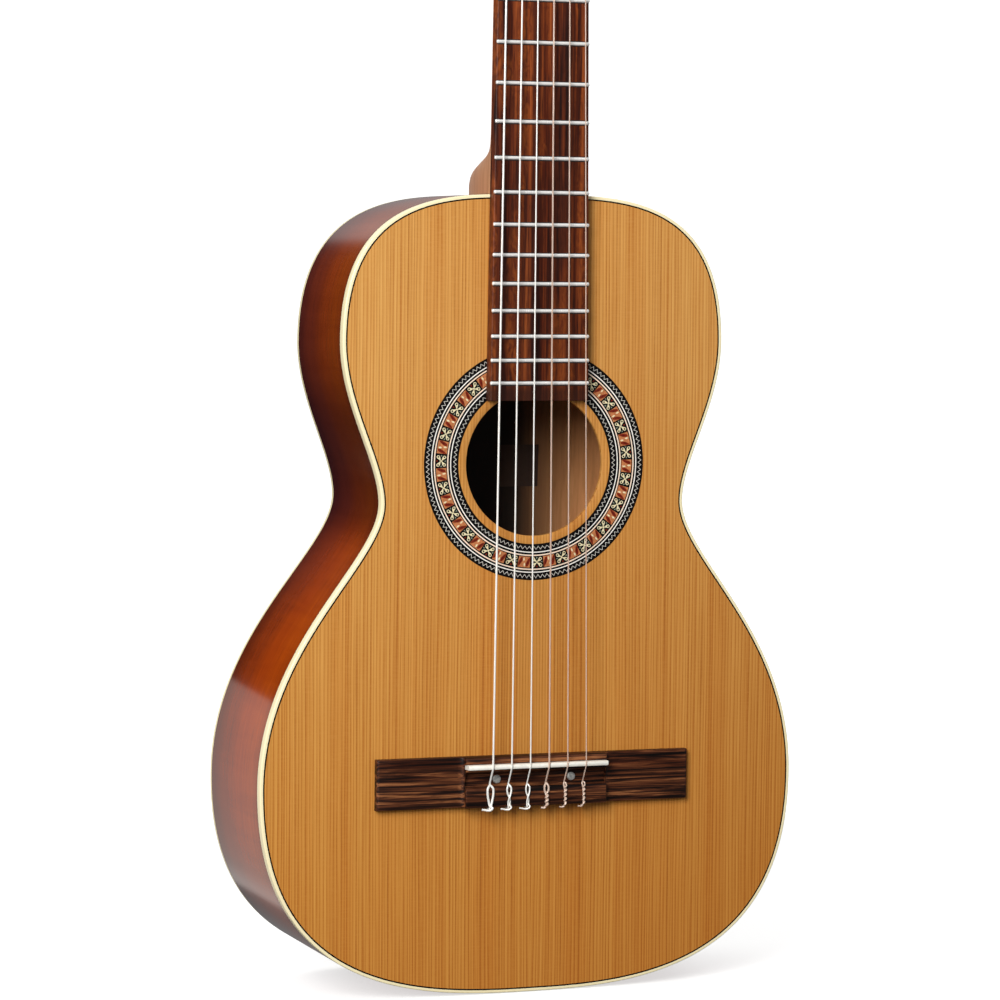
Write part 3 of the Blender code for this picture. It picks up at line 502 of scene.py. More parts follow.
def tube(path, radius, sides=10):
    """A round tube along a path of row-frame points (metres), with flat ends."""
    p = np.array(path, float)
    keep = [0]
    for i in range(1, len(p)):
        if np.linalg.norm(p[i] - p[keep[-1]]) > 1e-6:
            keep.append(i)
    p = p[keep]
    rings, nrm = [], np.array([1.0, 0.1, 0.0])
    for i in range(len(p)):
        d = p[min(i + 1, len(p) - 1)] - p[max(i - 1, 0)]
        d /= np.linalg.norm(d)
        nrm = nrm - d * nrm.dot(d)
        nrm /= np.linalg.norm(nrm)
        o = np.cross(d, nrm)
        r = radius if not callable(radius) else radius(i / (len(p) - 1))
        rings.append([tuple(p[i] + (nrm * math.cos(2 * math.pi * j / sides) + o * math.sin(2 * math.pi * j / sides)) * r) for j in range(sides)])
    return loft(rings)


# ================================================================= body outline
def bezier(p0, p1, p2, p3, n):
    t = np.linspace(0, 1, n)[:, None]
    p0, p1, p2, p3 = (np.array(p, float) for p in (p0, p1, p2, p3))
    return (1 - t) ** 3 * p0 + 3 * t * (1 - t) ** 2 * p1 + 3 * t * t * (1 - t) * p2 + t ** 3 * p3


def half(offset=0.0, n=61):
    (wl, zl), (ww, zw), (wu, zu) = LOWER_BOUT, WAIST, UPPER_BOUT
    parts = [bezier((0, 0), (57.0, 0), (wl, 0), (wl, zl), n), bezier((wl, zl), (wl, zl + 82.5), (ww, zw - 33.0), (ww, zw), n),
             bezier((ww, zw), (ww, zw + 24.0), (wu, zu - 36.0), (wu, zu), n), bezier((wu, zu), (wu, zu + 88.0), (45.5, BODY_LENGTH), (0, BODY_LENGTH), n)]
    p = np.vstack([parts[0]] + [q[1:] for q in parts[1:]])
    t = np.gradient(p, axis=0)
    t[0], t[-1] = (1, 0), (-1, 0)
    t /= np.linalg.norm(t, axis=1)[:, None]
    p = p + np.c_[-t[:, 1], t[:, 0]] * offset
    p[0, 0] = p[-1, 0] = 0.0
    return p


def full(offset=0.0, n=61):
    h = half(offset, n)
    return [tuple(q) for q in h] + [(-q[0], q[1]) for q in h[-2:0:-1]]


def back_y(z):
    return DEPTH_TAIL + (DEPTH_HEEL - DEPTH_TAIL) * z / BODY_LENGTH


def sweep(profile, n=61):
    """A closed profile of (offset, y or function of z) taken right round the outline."""
    rings = []
    for off, y in profile:
        rings.append([P(x, y(z) if callable(y) else y, z) for x, z in full(off, n)])
    m, k = len(rings[0]), len(rings)
    verts = [v for r in rings for v in r]
    faces = [(a * m + i, a * m + (i + 1) % m, ((a + 1) % k) * m + (i + 1) % m, ((a + 1) % k) * m + i) for a in range(k) for i in range(m)]
    return verts, faces


# ---- soundboard, with a rounded hole edge and a recess for the rosette
PURF = 0.80
outer = np.array(full(1.85 + PURF))
centre = np.array([0.0, HOLE_Z])
direction = outer - centre
reach = np.linalg.norm(direction, axis=1)
direction /= reach[:, None]


def circ(r, y):
    return [P(*(centre + d * r)[[0]], y, (centre + d * r)[1]) for d in direction]


rings = [circ(41.5, 2.5), circ(41.5, 0.45), circ(41.62, 0.16), circ(41.9, 0.0), circ(46.2, 0.0), circ(46.2, 0.55), circ(66.95, 0.55), circ(66.95, 0.0)]
for f in (0.12, 0.4, 0.75, 1.0):
    rings.append([P(*((centre + d * (66.95 + (R - 66.95) * f))[[0]]), 0.0, (centre + d * (66.95 + (R - 66.95) * f))[1]) for d, R in zip(direction, reach)])
rings.append([P(q[0], 2.5, q[1]) for q in outer])
m, k = len(outer), len(rings)
verts = [v for r in rings for v in r]
faces = [(a * m + i, a * m + (i + 1) % m, ((a + 1) % k) * m + (i + 1) % m, ((a + 1) % k) * m + i) for a in range(k) for i in range(m)]
make("top_plate", verts, faces, CEDAR, replaces=("soundboard",), slot="soundboard", smooth=30)

v, f = sweep([(1.84, 2.5), (1.84, 0.0), (1.84 + PURF, 0.0), (1.84 + PURF, 2.5)])
make("top_purfling", v, f, BLACK, slot="rosette", smooth=30)
v, f = sweep([(0, 5.5), (0, 0.75), (0.06, 0.42), (0.22, 0.18), (0.46, 0.04), (0.75, 0.0), (1.8, 0.0), (1.8, 5.5)])
make("top_binding_strip", v, f, BINDING, replaces=("top_binding",), slot="binding", smooth=30)

# ---- ribs
for side, tag in ((-1, "bass"), (1, "treble")):
    h = half(0.0, 81)
    hi = half(2.2, 81)
    hm = half(0.12, 81)
    x_end = 12.2
    j = len(h) - 1 - int(np.argmax(h[::-1, 0] > x_end))
    sel = list(range(0, j + 1))
    prof = []
    for arr, y in ((h, 6.02), (h, lambda z: back_y(z) - 4.0), (hm, lambda z: back_y(z) - 3.92), (hi, lambda z: back_y(z) - 3.92), (hi, 6.02)):
        prof.append([P(side * max(arr[i, 0], 0.06), y(arr[i, 1]) if callable(y) else y, arr[i, 1]) for i in sel])
    rings = [[prof[a][i] for a in range(len(prof))] for i in range(len(sel))]
    v, f = loft(rings)
    mats = [1 if i < 5 * (len(rings) - 1) and i % 5 == 3 else 0 for i in range(len(f))]
    make("side_" + tag, v, f, SIDES, replaces=("rib_" + tag,), slot="sides_and_back", smooth=35, face_mats=mats, extra_mats=(INSIDE,))

# ---- cream strip round the back edge, and thin black lines where the two strips meet the ribs
v, f = join([sweep([(0.015, 5.53), (0.015, 5.97), (2.1, 5.97), (2.1, 5.53)]),
             sweep([(0.015, lambda z: back_y(z) - 3.88), (0.015, lambda z: back_y(z) - 3.43), (2.1, lambda z: back_y(z) - 3.43), (2.1, lambda z: back_y(z) - 3.88)])])
make("edge_lines", v, f, BLACK, slot="rosette", smooth=30)
v, f = sweep([(0.0, lambda z: back_y(z) - 3.40), (0.0, lambda z: back_y(z) - 0.75), (0.06, lambda z: back_y(z) - 0.42), (0.22, lambda z: back_y(z) - 0.18), (0.46, lambda z: back_y(z) - 0.04),
              (0.75, lambda z: back_y(z)), (1.8, lambda z: back_y(z)), (1.8, lambda z: back_y(z) - 3.40)])
make("back_binding_strip", v, f, BINDING, replaces=("back_binding",), slot="binding", smooth=30)

# ---- back plate: nested rings so that the stain can fade in from the edge
fine = np.array(full(0.0))


def nested(s, inset):
    base = np.array(full(inset))
    zc = 235.0
    g = 1 - (1 - s) * 0.62
    return np.c_[base[:, 0] * s, zc + (base[:, 1] - zc) * g]


levels = [(1.0, 1.95, -2.5), (1.0, 1.95, -0.12), (1.0, 2.08, 0.0)]
rings2d = [(nested(s, i), y) for s, i, y in levels] + [(nested(s, 2.08), 0.0) for s in (0.975, 0.94, 0.90, 0.85, 0.79, 0.72, 0.64, 0.55, 0.45, 0.34, 0.22, 0.10)]
verts, edge = [], []
for ring, dy in rings2d:
    for x, z in ring:
        verts.append(P(x, back_y(z) + dy, z))
        edge.append(float(np.min(np.hypot(fine[:, 0] - x, fine[:, 1] - z))))
m, k = len(fine), len(rings2d)
faces = [(a * m + i, a * m + (i + 1) % m, (a + 1) * m + (i + 1) % m, (a + 1) * m + i) for a in range(k - 1) for i in range(m)]
faces += [tuple(range(m)), tuple(range((k - 1) * m, k * m))]
mats = [0] * (len(faces) - 2) + [1, 0]
make("back_panel", verts, faces, BACK, replaces=("back_plate",), slot="sides_and_back", smooth=30, attr=np.clip(np.array(edge) / 85.0, 0, 1), face_mats=mats, extra_mats=(INSIDE,))
# centre seam line on the back
loop = [(-0.35, 14), (0.35, 14), (0.35, 444), (-0.35, 444)]
v, f = prism(loop, -0.6, 0.02, lambda p, d: P(p[0], back_y(p[1]) + d, p[1]))
make("back_seam", v, f, BLACK, slot="rosette", smooth=0)
# blank paper label inside, under the hole
loop = [(-36.0, 286.0), (36.0, 286.0), (36.0, 311.0), (-36.0, 311.0)]
v, f = prism(loop, -2.62, -2.52, lambda p, d: P(p[0], back_y(p[1]) + d, p[1]))
make("inside_label", v, f, PAPER, slot="braces", smooth=0)

# ---- rosette
def annulus(r0, r1, y0, y1, n=180):
    v, f = [], []
    for r, y in ((r0, y0), (r1, y0), (r1, y1), (r0, y1)):
        v += [P(r * math.cos(2 * math.pi * i / n), y, HOLE_Z + r * math.sin(2 * math.pi * i / n)) for i in range(n)]
    for a in range(4):
        b = (a + 1) % 4
        f += [(a * n + i, a * n + (i + 1) % n, b * n + (i + 1) % n, b * n + i) for i in range(n)]
    return v, f


def polar(poly, y0, y1):
    """poly: list of (radius, angle); a thin closed tile."""
    pts = [(r * math.cos(a), HOLE_Z + r * math.sin(a)) for r, a in poly]
    return prism(pts, y0, y1, lambda p, y: P(p[0], y, p[1]))


def zigzag(rc, amp, width, n):
    """One closed white zigzag line, joined all the way round."""
    v, f, k = [], [], 2 * n
    for i in range(k):
        a = 2 * math.pi * i / k
        s = 1 if i % 2 else -1
        for r, y in ((rc + s * amp - width / 2, 0.3), (rc + s * amp + width / 2, 0.3), (rc + s * amp + width / 2, -0.032), (rc + s * amp - width / 2, -0.032)):
            v.append(P(r * math.cos(a), y, HOLE_Z + r * math.sin(a)))
    for i in range(k):
        j = (i + 1) % k
        for q in range(4):
            f.append((i * 4 + q, i * 4 + (q + 1) % 4, j * 4 + (q + 1) % 4, j * 4 + q))
    return v, f


v, f = annulus(46.25, 66.9, 0.5, -0.012)
make("rosette_ground", v, f, BLACK, replaces=("rosette",), slot="rosette", smooth=30)
v, f = join([zigzag(64.75, 0.92, 0.46, 148), zigzag(48.45, 0.85, 0.44, 112)])
make("rosette_zigzags", v, f, DULL, slot="rosette", smooth=0)
v, f = join([annulus(a, b, 0.3, -0.03) for a, b in ((62.10, 62.72), (50.62, 51.22))])
make("rosette_white_lines", v, f, WHITE, slot="rosette", smooth=30)
v, f = join([annulus(a, b, 0.3, -0.03) for a, b in ((60.35, 61.08), (52.35, 53.08))])
make("rosette_peach_lines", v, f, PINK, slot="rosette", smooth=30)
PERIODS = 23
R0, R1, RM = 53.55, 59.75, 56.65
mm_ = 1.0 / RM
tiles = {"cream": [], "green": [], "orange": [], "red": [], "dark": [], "core": []}
for i in range(PERIODS):
    a0 = -math.pi / 2 + math.radians(2.0) + 2 * math.pi * i / PERIODS

    def q(u, w):
        """u mm along the arc, w mm out from the middle of the band"""
        return (RM + w, a0 + u * mm_)
    # flower tile: four broad petals with dark hearts round a cream middle, on black
    for su in (-1, 1):
        for sw in (-1, 1):
            petal = [(0.30, 0.25), (1.20, 0.45), (2.35, 0.75), (3.15, 1.50), (3.05, 2.45), (2.25, 2.95), (1.45, 2.50), (0.95, 1.55), (0.35, 0.80)]
            tiles["cream"].append(polar([q(su * u, sw * w) for u, w in petal], 0.3, -0.036))
            tiles["core"].append(polar([q(su * 2.25 + 0.55 * math.cos(t), sw * 1.85 + 0.5 * math.sin(t)) for t in np.linspace(0, 2 * math.pi, 9)[:-1]], 0.3, -0.046))
        tiles["green"].append(polar([q(su * 3.4, -0.45), q(su * 2.2, 0.0), q(su * 3.4, 0.45)], 0.3, -0.040))
    tiles["cream"].append(polar([q(-0.55, 0.0), q(0.0, -0.75), q(0.55, 0.0), q(0.0, 0.75)], 0.3, -0.042))
    tiles["red"].append(polar([q(-0.5, 2.9), q(0.0, 1.6), q(0.5, 2.9)], 0.3, -0.040))
    tiles["green"].append(polar([q(-0.5, -2.9), q(0.0, -1.6), q(0.5, -2.9)], 0.3, -0.040))
    # red tile: two red leaves across the band, pale in between
    c = 7.65 / 2 + 3.83

    def t(u, w):
        return (RM + w, a0 + (c + u) * mm_)
    tiles["orange"].append(polar([t(u, -3.1) for u in (-3.6, -1.8, 0, 1.8, 3.6)] + [t(u, 3.1) for u in (3.6, 1.8, 0, -1.8, -3.6)], 0.3, -0.026))
    for su in (-1, 1):
        leaf = [(3.45, -2.9), (2.35, -1.7), (1.35, 0.0), (0.95, 1.4), (1.25, 2.75), (2.30, 2.4), (3.10, 0.9), (3.55, -0.9)]
        tiles["red"].append(polar([t(su * u, w * su) for u, w in leaf], 0.3, -0.036))
        tiles["dark"].append(polar([t(su * 2.95, -1.9 * su), t(su * 1.95, 0.1 * su), t(su * 1.75, 1.7 * su), t(su * 2.35, 0.6 * su)], 0.3, -0.046))
        tiles["core"].append(polar([t(su * 3.62, -3.1), t(su * 3.62, 3.1), t(su * 3.9, 3.1), t(su * 3.9, -3.1)], 0.3, -0.040))
        tiles["cream"].append(polar([t(su * 0.15, 2.8 * su), t(su * 0.85, 1.6 * su), t(su * 0.35, 0.3 * su), t(-su * 0.25, 1.3 * su)], 0.3, -0.042))
DARK_RED = flat_inlay("inlay_dark_red", srgb(84, 26, 20), 0.2)
for key, mat in (("core", BLACK), ("dark", DARK_RED)):
    v, f = join(tiles.pop(key))
    make("rosette_tiles_" + key, v, f, mat, slot="rosette", smooth=0)
for key, mat in (("cream", CREAM), ("green", GREEN), ("orange", ORANGE), ("red", RED)):
    v, f = join(tiles[key])
    make("rosette_tiles_" + key, v, f, mat, slot="rosette", smooth=0)


# ================================================================= fingerboard, frets, nut
def board_half(z):
    return 25.5 + (28.8 - 25.5) * (Z_NUT - z) / (SCALE / 2)


def fret_z(n):
    return Z_LINE + SCALE * 2 ** (-n / 12)


rings = []
for z in np.linspace(BOARD_END_Z, Z_NUT, 24):
    w = board_half(z)
    sec = [(-w, -0.1), (-w, -6.2), (-w + 0.15, -6.62), (-w + 0.5, -6.92), (-w + 1.0, -7.0), (w - 1.0, -7.0), (w - 0.5, -6.92), (w - 0.15, -6.62), (w, -6.2), (w, -0.1)]
    rings.append([P(x, y, z) for x, y in sec])
v, f = loft(rings)
make("fretboard", v, f, BOARD, replaces=("fingerboard",), slot="rosewood", smooth=40, bevel=0.3, segs=2)

for n in range(1, 20):
    z, w = fret_z(n), board_half(fret_z(n)) + 0.10
    rings = []
    for x, s in ((-w, 0.35), (-w + 0.10, 0.72), (-w + 0.35, 1.0), (-w + 0.9, 1.08), (-w + 1.5, 1.0), (w - 1.5, 1.0), (w - 0.9, 1.08), (w - 0.35, 1.0), (w - 0.10, 0.72), (w, 0.35)):
        ring = [P(x, -BOARD_T + 0.35, z + 1.0 * s * c) for c in (1, -1)]
        ring = [P(x, -BOARD_T + 0.35, z - 1.0 * s)] + [P(x, -BOARD_T - 1.05 * s * math.sin(a), z - 1.0 * s * math.cos(a)) for a in np.linspace(0, math.pi, 11)] + [P(x, -BOARD_T + 0.35, z + 1.0 * s)]
        rings.append(ring)
    v, f = loft(rings)
    e = w - 0.35
    # dark strips on the board either side of each fret: painted shadow of the fret
    sv, sf = [], []
    for z0, z1 in ((z - 1.62, z - 0.7), (z + 0.7, z + 1.45)):
        i = len(sv)
        sv += [P(-e, -BOARD_T - 0.03, z0), P(e, -BOARD_T - 0.03, z0), P(e, -BOARD_T - 0.03, z1), P(-e, -BOARD_T - 0.03, z1)]
        sf.append((i, i + 1, i + 2, i + 3))
    make(f"painted_fret_shadow_{n:02d}", sv, sf, FRET_SHADOW_PAINT, slot="rosewood", smooth=0)
    make(f"fret_wire_{n:02d}", v, f, NICKEL, replaces=(f"fret_{n:02d}",), slot="fret_wire", smooth=50)

NUT_X = [43.5 / 2 - 43.5 / 5 * (k - 1) for k in range(1, 7)]
rings = []
xs = sorted(set([-25.2, -24.9, 24.9, 25.2] + [x + d for x in NUT_X for d in (-0.75, -0.45, 0.0, 0.45, 0.75)]))
for x in xs:
    cut = max((0.55 - abs(x - q)) / 0.55 for q in NUT_X)
    dip = 0.45 * max(cut, 0)
    e = 0.5 if abs(x) > 25 else 0.0
    rings.append([P(x, y, z) for y, z in ((-0.15, 784.12), (-8.7 + e, 784.12), (-9.15 + dip + e, 784.6), (-9.15 + dip + e, 785.1), (-8.2 + dip * 0.7 + e, 787.3), (-7.0 + e, 788.95), (-0.15, 788.98))])
v, f = loft(rings)
make("nut_bone", v, f, BONE, replaces=("nut",), slot="bone", smooth=40, bevel=0.18, segs=2)

# ================================================================= bridge and saddle
B0, B1 = 109.0, 138.0
S0, S1 = Z_SADDLE - 1.5, Z_SADDLE + 1.5


def bridge_section(x):
    a = abs(x)
    if a <= 43.0:
        r = 0.5 if a > 42.6 else 0.0
        return [(-0.1, B0), (-7.9 + r, B0 + 0.02), (-8.7 + r, B0 + 0.35), (-9.0 + r, B0 + 1.1), (-9.0 + r, 119.6), (-8.75 + r, 120.15), (-8.3 + r, 120.4), (-4.1, 120.9),
                (-3.9, 121.2), (-3.9, 127.6), (-4.4, 128.3), (-8.6 + r, 129.6), (-9.2 + r, 129.9), (-9.3 + r, 130.3), (-9.3 + r, S0), (-5.0, S0), (-5.0, S1), (-9.3 + r, S1),
                (-9.3 + r, B1 - 2.2), (-8.9 + r, B1 - 1.1), (-8.0 + r, B1 - 0.3), (-7.0 + r, B1), (-0.1, B1)]
    t = max(0.0, (a - 93.5) / 1.5)
    w = 4.6 - 0.9 * t ** 2 + 1.6 * math.exp(-(a - 43.0) / 1.1)
    zs = np.linspace(B0 + 1.1, B1 - 1.1, 17)
    return [(-0.1, B0), (-w + 0.75, B0 + 0.03), (-w + 0.18, B0 + 0.4)] + [(-w, z) for z in zs] + [(-w + 0.18, B1 - 0.4), (-w + 0.75, B1 - 0.03), (-0.1, B1)]


xs = [-95.0, -94.8, -94.3, -93.5, -80, -62, -50, -47, -45, -44, -43.4, -43.02, -42.98, -42.5, -30, -15, 0]
xs = xs + [-x for x in xs[-2::-1]]
v, f = loft([[P(x, y, z) for y, z in bridge_section(x)] for x in xs])
make("bridge_carved", v, f, BRIDGE, replaces=("bridge",), slot="rosewood", smooth=32)

rings = []
for x, e in ((-42.6, 0.45), (-42.45, 0.15), (-42.1, 0.0), (-8, 0.0), (-7.2, -0.25), (8, -0.25), (8.8, 0.0), (42.1, 0.0), (42.45, 0.15), (42.6, 0.45)):
    top = 13.0 - max(e, 0)
    k = 1.38
    rings.append([P(x, y, z) for y, z in ((-5.1, Z_SADDLE - k), (-top + 0.9, Z_SADDLE - k + max(e, 0) * 0.3), (-top + 0.35, Z_SADDLE - k + 0.22), (-top + 0.05, Z_SADDLE - 0.55), (-top, Z_SADDLE + min(e, 0)),
                                          (-top + 0.05, Z_SADDLE + 0.55), (-top + 0.35, Z_SADDLE + k - 0.22), (-top + 0.9, Z_SADDLE + k - max(e, 0) * 0.3), (-5.1, Z_SADDLE + k))])
v, f = loft(rings)
make("saddle_bone", v, f, BONE, replaces=("saddle",), slot="bone", smooth=40)

for side, tag in ((-1, "bass"), (1, "treble")):
    prof = [(0.001, -5.15), (0.8, -5.12), (1.6, -5.0), (2.15, -4.8), (2.42, -4.45), (2.5, -4.0), (2.5, -2.6)]
    rings = [[P(side * 22.8 + r * math.cos(a), y, 124.6 + r * math.sin(a)) for a in np.linspace(0, 2 * math.pi, 33)[:-1]] for r, y in prof]
    v, f = loft(rings)
    make("bolt_dot_" + tag, v, f, PEARL, replaces=("bolt_cap_" + tag,), slot="bolt_caps", smooth=50)

# ================================================================= strings
SIDE_OF = {1: (1, ROLLER_H[0]), 2: (1, ROLLER_H[1]), 3: (1, ROLLER_H[2]), 4: (-1, ROLLER_H[2]), 5: (-1, ROLLER_H[1]), 6: (-1, ROLLER_H[0])}
WRAP_X = {1: 17.6, 2: 15.6, 3: 13.4, 4: 13.4, 5: 15.6, 6: 17.6}
for k in range(1, 7):
    side, hh = SIDE_OF[k]
    r = STRING_D[k] / 2
    xs, xn = 57.0 / 2 - 57.0 / 5 * (k - 1), NUT_X[k - 1]
    top = -13.0 - r
    T = -9.0 - r                           # lying on the tie block
    if k >= 4:
        w = {6: 1.78, 5: 1.25, 4: 1.15}[k]
        d2 = 2.1 * r
        if k == 6:
            up = [(-0.55, T - 0.3, 110.4), (-0.95, T, 112.4), (-w * 0.85, T, 115.2), (-w, T, 118.0), (-w * 0.86, T + 0.1, 120.2)]
            down = [(w * 0.86, T + 0.1, 120.2), (w, T, 118.0), (w * 0.85, T, 115.2), (0.95, T, 112.4), (0.45, T - 0.1, 110.4)]
        else:
            up = [(0.50, T, 110.2), (0.50, T, 112.2), (0.15, T - 0.05, 114.4), (-w * 0.7, T, 116.6), (-w, T, 118.6), (-w * 0.86, T + 0.1, 120.3)]
            down = [(w * 0.86, T + 0.1, 120.3), (w, T, 118.6), (w * 0.65, T - 0.3, 116.6), (-0.15, T - d2, 114.4), (-0.50, T - 0.25, 112.2), (-0.48, T, 110.4)]
        tie = [(-5.0, T + 0.4, 108.1), (-3.4, T + 0.1, 107.9), (-1.8, T - 0.3, 107.6), (-0.4, T - 1.2, 107.8), (0.75, T - 1.5, 109.0)] + up + [(0.0, T + 0.9, 121.8)] + down + [
               (-0.25, T + 0.2, 108.6), (-0.15, T + 2.2, 107.9), (0.0, -5.6, 108.0), (0.0, -4.9, 109.2)]
    else:
        tie = [(-3.2, T + 0.4, 107.9), (-1.3, T + 0.1, 107.7)]
        turns, top_z = (3.0, 115.6) if k == 3 else (4.5, 119.8)
        n = int(turns * 9)
        rw = r + 0.12
        for i in range(n + 1):
            u = i / n
            a = 2 * math.pi * turns * u
            tie.append((rw * math.cos(a + 2.2), T - 0.55 + rw * math.sin(a + 2.2), 108.6 + (top_z - 108.6) * u))
        if k == 3:
            tie += [(1.0, T, 117.2), (1.25, T, 119.0), (1.05, T + 0.1, 120.4), (0.0, T + 0.9, 121.8), (-1.05, T + 0.1, 120.4), (-1.25, T, 119.0), (-1.0, T, 117.2), (-0.2, T + 0.05, 115.6)]
        if k != 3:
            tie += [(0.75, T + 0.2, 121.0), (0.0, T + 0.9, 121.8), (-0.75, T + 0.3, 121.0), (-0.35, T + 0.05, 118.5)]
        tie += [(0.0, T, 114.5), (0.05, T, 110.5), (0.0, T + 0.4, 108.7), (0.0, -6.6, 107.8), (0.0, -5.2, 108.2), (0.0, -4.9, 109.4)]
    rear = [(0.0, -5.6, 112.5), (0.0, -6.2, 118.5), (0.0, -7.0, 120.8), (0.0, -8.2, 122.8), (0.0, -10.6, 127.0), (0.0, top + 0.8, 130.4), (0.0, top + 0.12, 131.7), (0.0, top, 132.6)]
    pts = spline([P(xs + a, b, c) for a, b, c in tie + rear], 7)
    zs = np.linspace(133.4, 783.9, 60)
    line = [P(xs + (xn - xs) * (z - 132.5) / (784.3 - 132.5), top + (-9.2 - r - top) * (z - 132.5) / (784.3 - 132.5), z) for z in zs]
    over = [P(xn, -9.2 - r, 784.7), P(xn, -9.05 - r, 785.6), P(xn, -8.2 - r, 787.6)]
    rr = ROLLER_R + r + 0.27
    x0, pitch, turns, per = WRAP_X[k], 2 * r + 0.25, 1.6, 28
    start = math.radians(96.0)
    coil = []
    for i in range(int(per * turns) + 1):
        a = start - 2 * math.pi * i / per
        coil.append(head(side * (x0 + pitch * i / per), hh + rr * math.cos(a), ROLLER_N + rr * math.sin(a)))
    a_pt, b_pt = np.array(over[-1]), np.array(coil[0])
    run = [tuple(a_pt + (b_pt - a_pt) * u) for u in np.linspace(0.03, 0.97, 12)]
    path = [tuple(q) for q in pts] + line + over + run + coil
    knot = (len(tie) + 1) * 7 / len(path)          # the knotted end is a little fatter than the open length
    v, f = tube(path, lambda u: (1.22 if u < knot else 1.10) * r * MM if k >= 4 else (1.18 if u < knot else 1.0) * r * MM, 10)
    mats = [1 if i < int(knot * len(path)) * 10 else 0 for i in range(len(f))] if k < 4 else None
    make(f"guitar_string_{k}", v, f, WOUND if k >= 4 else NYLON, face_mats=mats, extra_mats=(KNOT,) if k < 4 else (), replaces=(f"string_{k}",), slot="wound_strings" if k >= 4 else "plain_strings", smooth=60)

# ================================================================= neck
NECK_SECTIONS = [(458.15, 92.0), (466.0, 91.0), (470.0, 87.0), (473.5, 78.0), (476.5, 64.0), (479.0, 46.0), (481.5, 31.0),
                 (485.0, 22.5), (490.0, 18.8), (500.0, 17.3), (600.0, 16.6), (700.0, 16.0), (776.0, 15.3), (789.0, 15.2)]
zz = np.array([s[0] for s in NECK_SECTIONS])
dd = np.array([s[1] for s in NECK_SECTIONS])
dense = np.unique(np.r_[np.linspace(458.15, 492, 50), np.linspace(492, 520, 12), np.linspace(520, 789.0, 30)])
rings = []
slope = np.gradient(dd, zz)
for z in dense:
    i = min(max(int(np.searchsorted(zz, z)) - 1, 0), len(zz) - 2)
    h_, t = zz[i + 1] - zz[i], (z - zz[i]) / (zz[i + 1] - zz[i])
    m0, m1 = slope[i] * h_, slope[i + 1] * h_
    d = (2 * t ** 3 - 3 * t ** 2 + 1) * dd[i] + (t ** 3 - 2 * t ** 2 + t) * m0 + (-2 * t ** 3 + 3 * t ** 2) * dd[i + 1] + (t ** 3 - t ** 2) * m1
    w = board_half(z)
    ring = []
    for a in np.linspace(0, math.pi, 41):
        y = d * math.sin(a) ** 0.92 if 1e-6 < a < math.pi - 1e-6 else 0.02
        narrow = (1.0 - 0.07 * math.sqrt(max(math.sin(a), 0.0))) * (1.0 - 0.14 * math.sin(a) * min(max((d - 30.0) / 40.0, 0.0), 1.0))
        ring.append(P(w * math.cos(a) * narrow, min(y, 82.4), z))
    rings.append(ring)
v, f = loft(rings)
make("neck_shaft", v, f, NECK, replaces=("neck",), slot="neck", smooth=50)
foot = join([prism([(-25, 421), (25, 421), (25, 455.3), (-25, 455.3)], 2.6, None, lambda p, d: P(p[0], 2.6 if d is not None else back_y(p[1]) - 2.6, p[1])),
             prism([(-12, 440), (12, 440), (12, 463), (-12, 463)], 6.7, 77.0, lambda p, d: P(p[0], d, p[1]))])
make("neck_foot", *foot, NECK, slot="neck", smooth=0, bevel=0.6, segs=2)
HEAD_OUTLINE = [(25.5, -2.0), (25.6, 2.0), (27.0, 8.0), (30.0, 14.0), (33.6, 19.0), (36.0, 23.5), (36.5, 26.5),
                (36.5, 137.0), (36.9, 150.0), (36.6, 160.0), (34.6, 168.5), (30.0, 175.0), (22.0, 180.0), (11.0, 183.3), (0.0, 184.5)]


def head_loop(h0=None):
    low = [p for p in HEAD_OUTLINE[:7] if h0 is None or p[1] > h0]
    if h0 is not None:
        low = [(25.5, h0)] + low
    a = [tuple(q) for q in spline(low, 5)]
    b = [tuple(q) for q in spline(HEAD_OUTLINE[8:], 7)]
    pts = a + [(36.5, 60.0), (36.5, 100.0), (36.5, 137.0)] + b
    return pts + [(-x, h) for x, h in pts[-2::-1]]


def slot_loop(side, grow=0.0):
    r, xc = 7.5 + grow, side * 15.5
    top = [(xc + r * math.cos(a), 132.0 - 7.5 + r * math.sin(a)) for a in np.linspace(0, math.pi, 17)]
    low = [(xc + r * math.cos(a), 16.0 + 7.5 + r * math.sin(a)) for a in np.linspace(math.pi, 2 * math.pi, 17)]
    return top + low


def cutter(name, v, f):
    o = make(name, v, f, BLACK, body=None, smooth=0)
    o.hide_render = True
    o.hide_viewport = True
    return o


def cut(target, *others):
    for i, o in enumerate(others):
        m = target.modifiers.new(f"cut_{i}", "BOOLEAN")
        m.operation, m.object, m.solver = "DIFFERENCE", o, "EXACT"


def bake(target):
    """Leaves the modifiers' result in the mesh, smooth by angle, with the cutters gone."""
    dg = bpy.context.evaluated_depsgraph_get()
    me = bpy.data.meshes.new_from_object(target.evaluated_get(dg))
    others = [m.object for m in target.modifiers if m.type == "BOOLEAN"]
    target.modifiers.clear()
    target.data = me
    me.shade_smooth()
    me.set_sharp_from_angle(angle=math.radians(35))
    return others


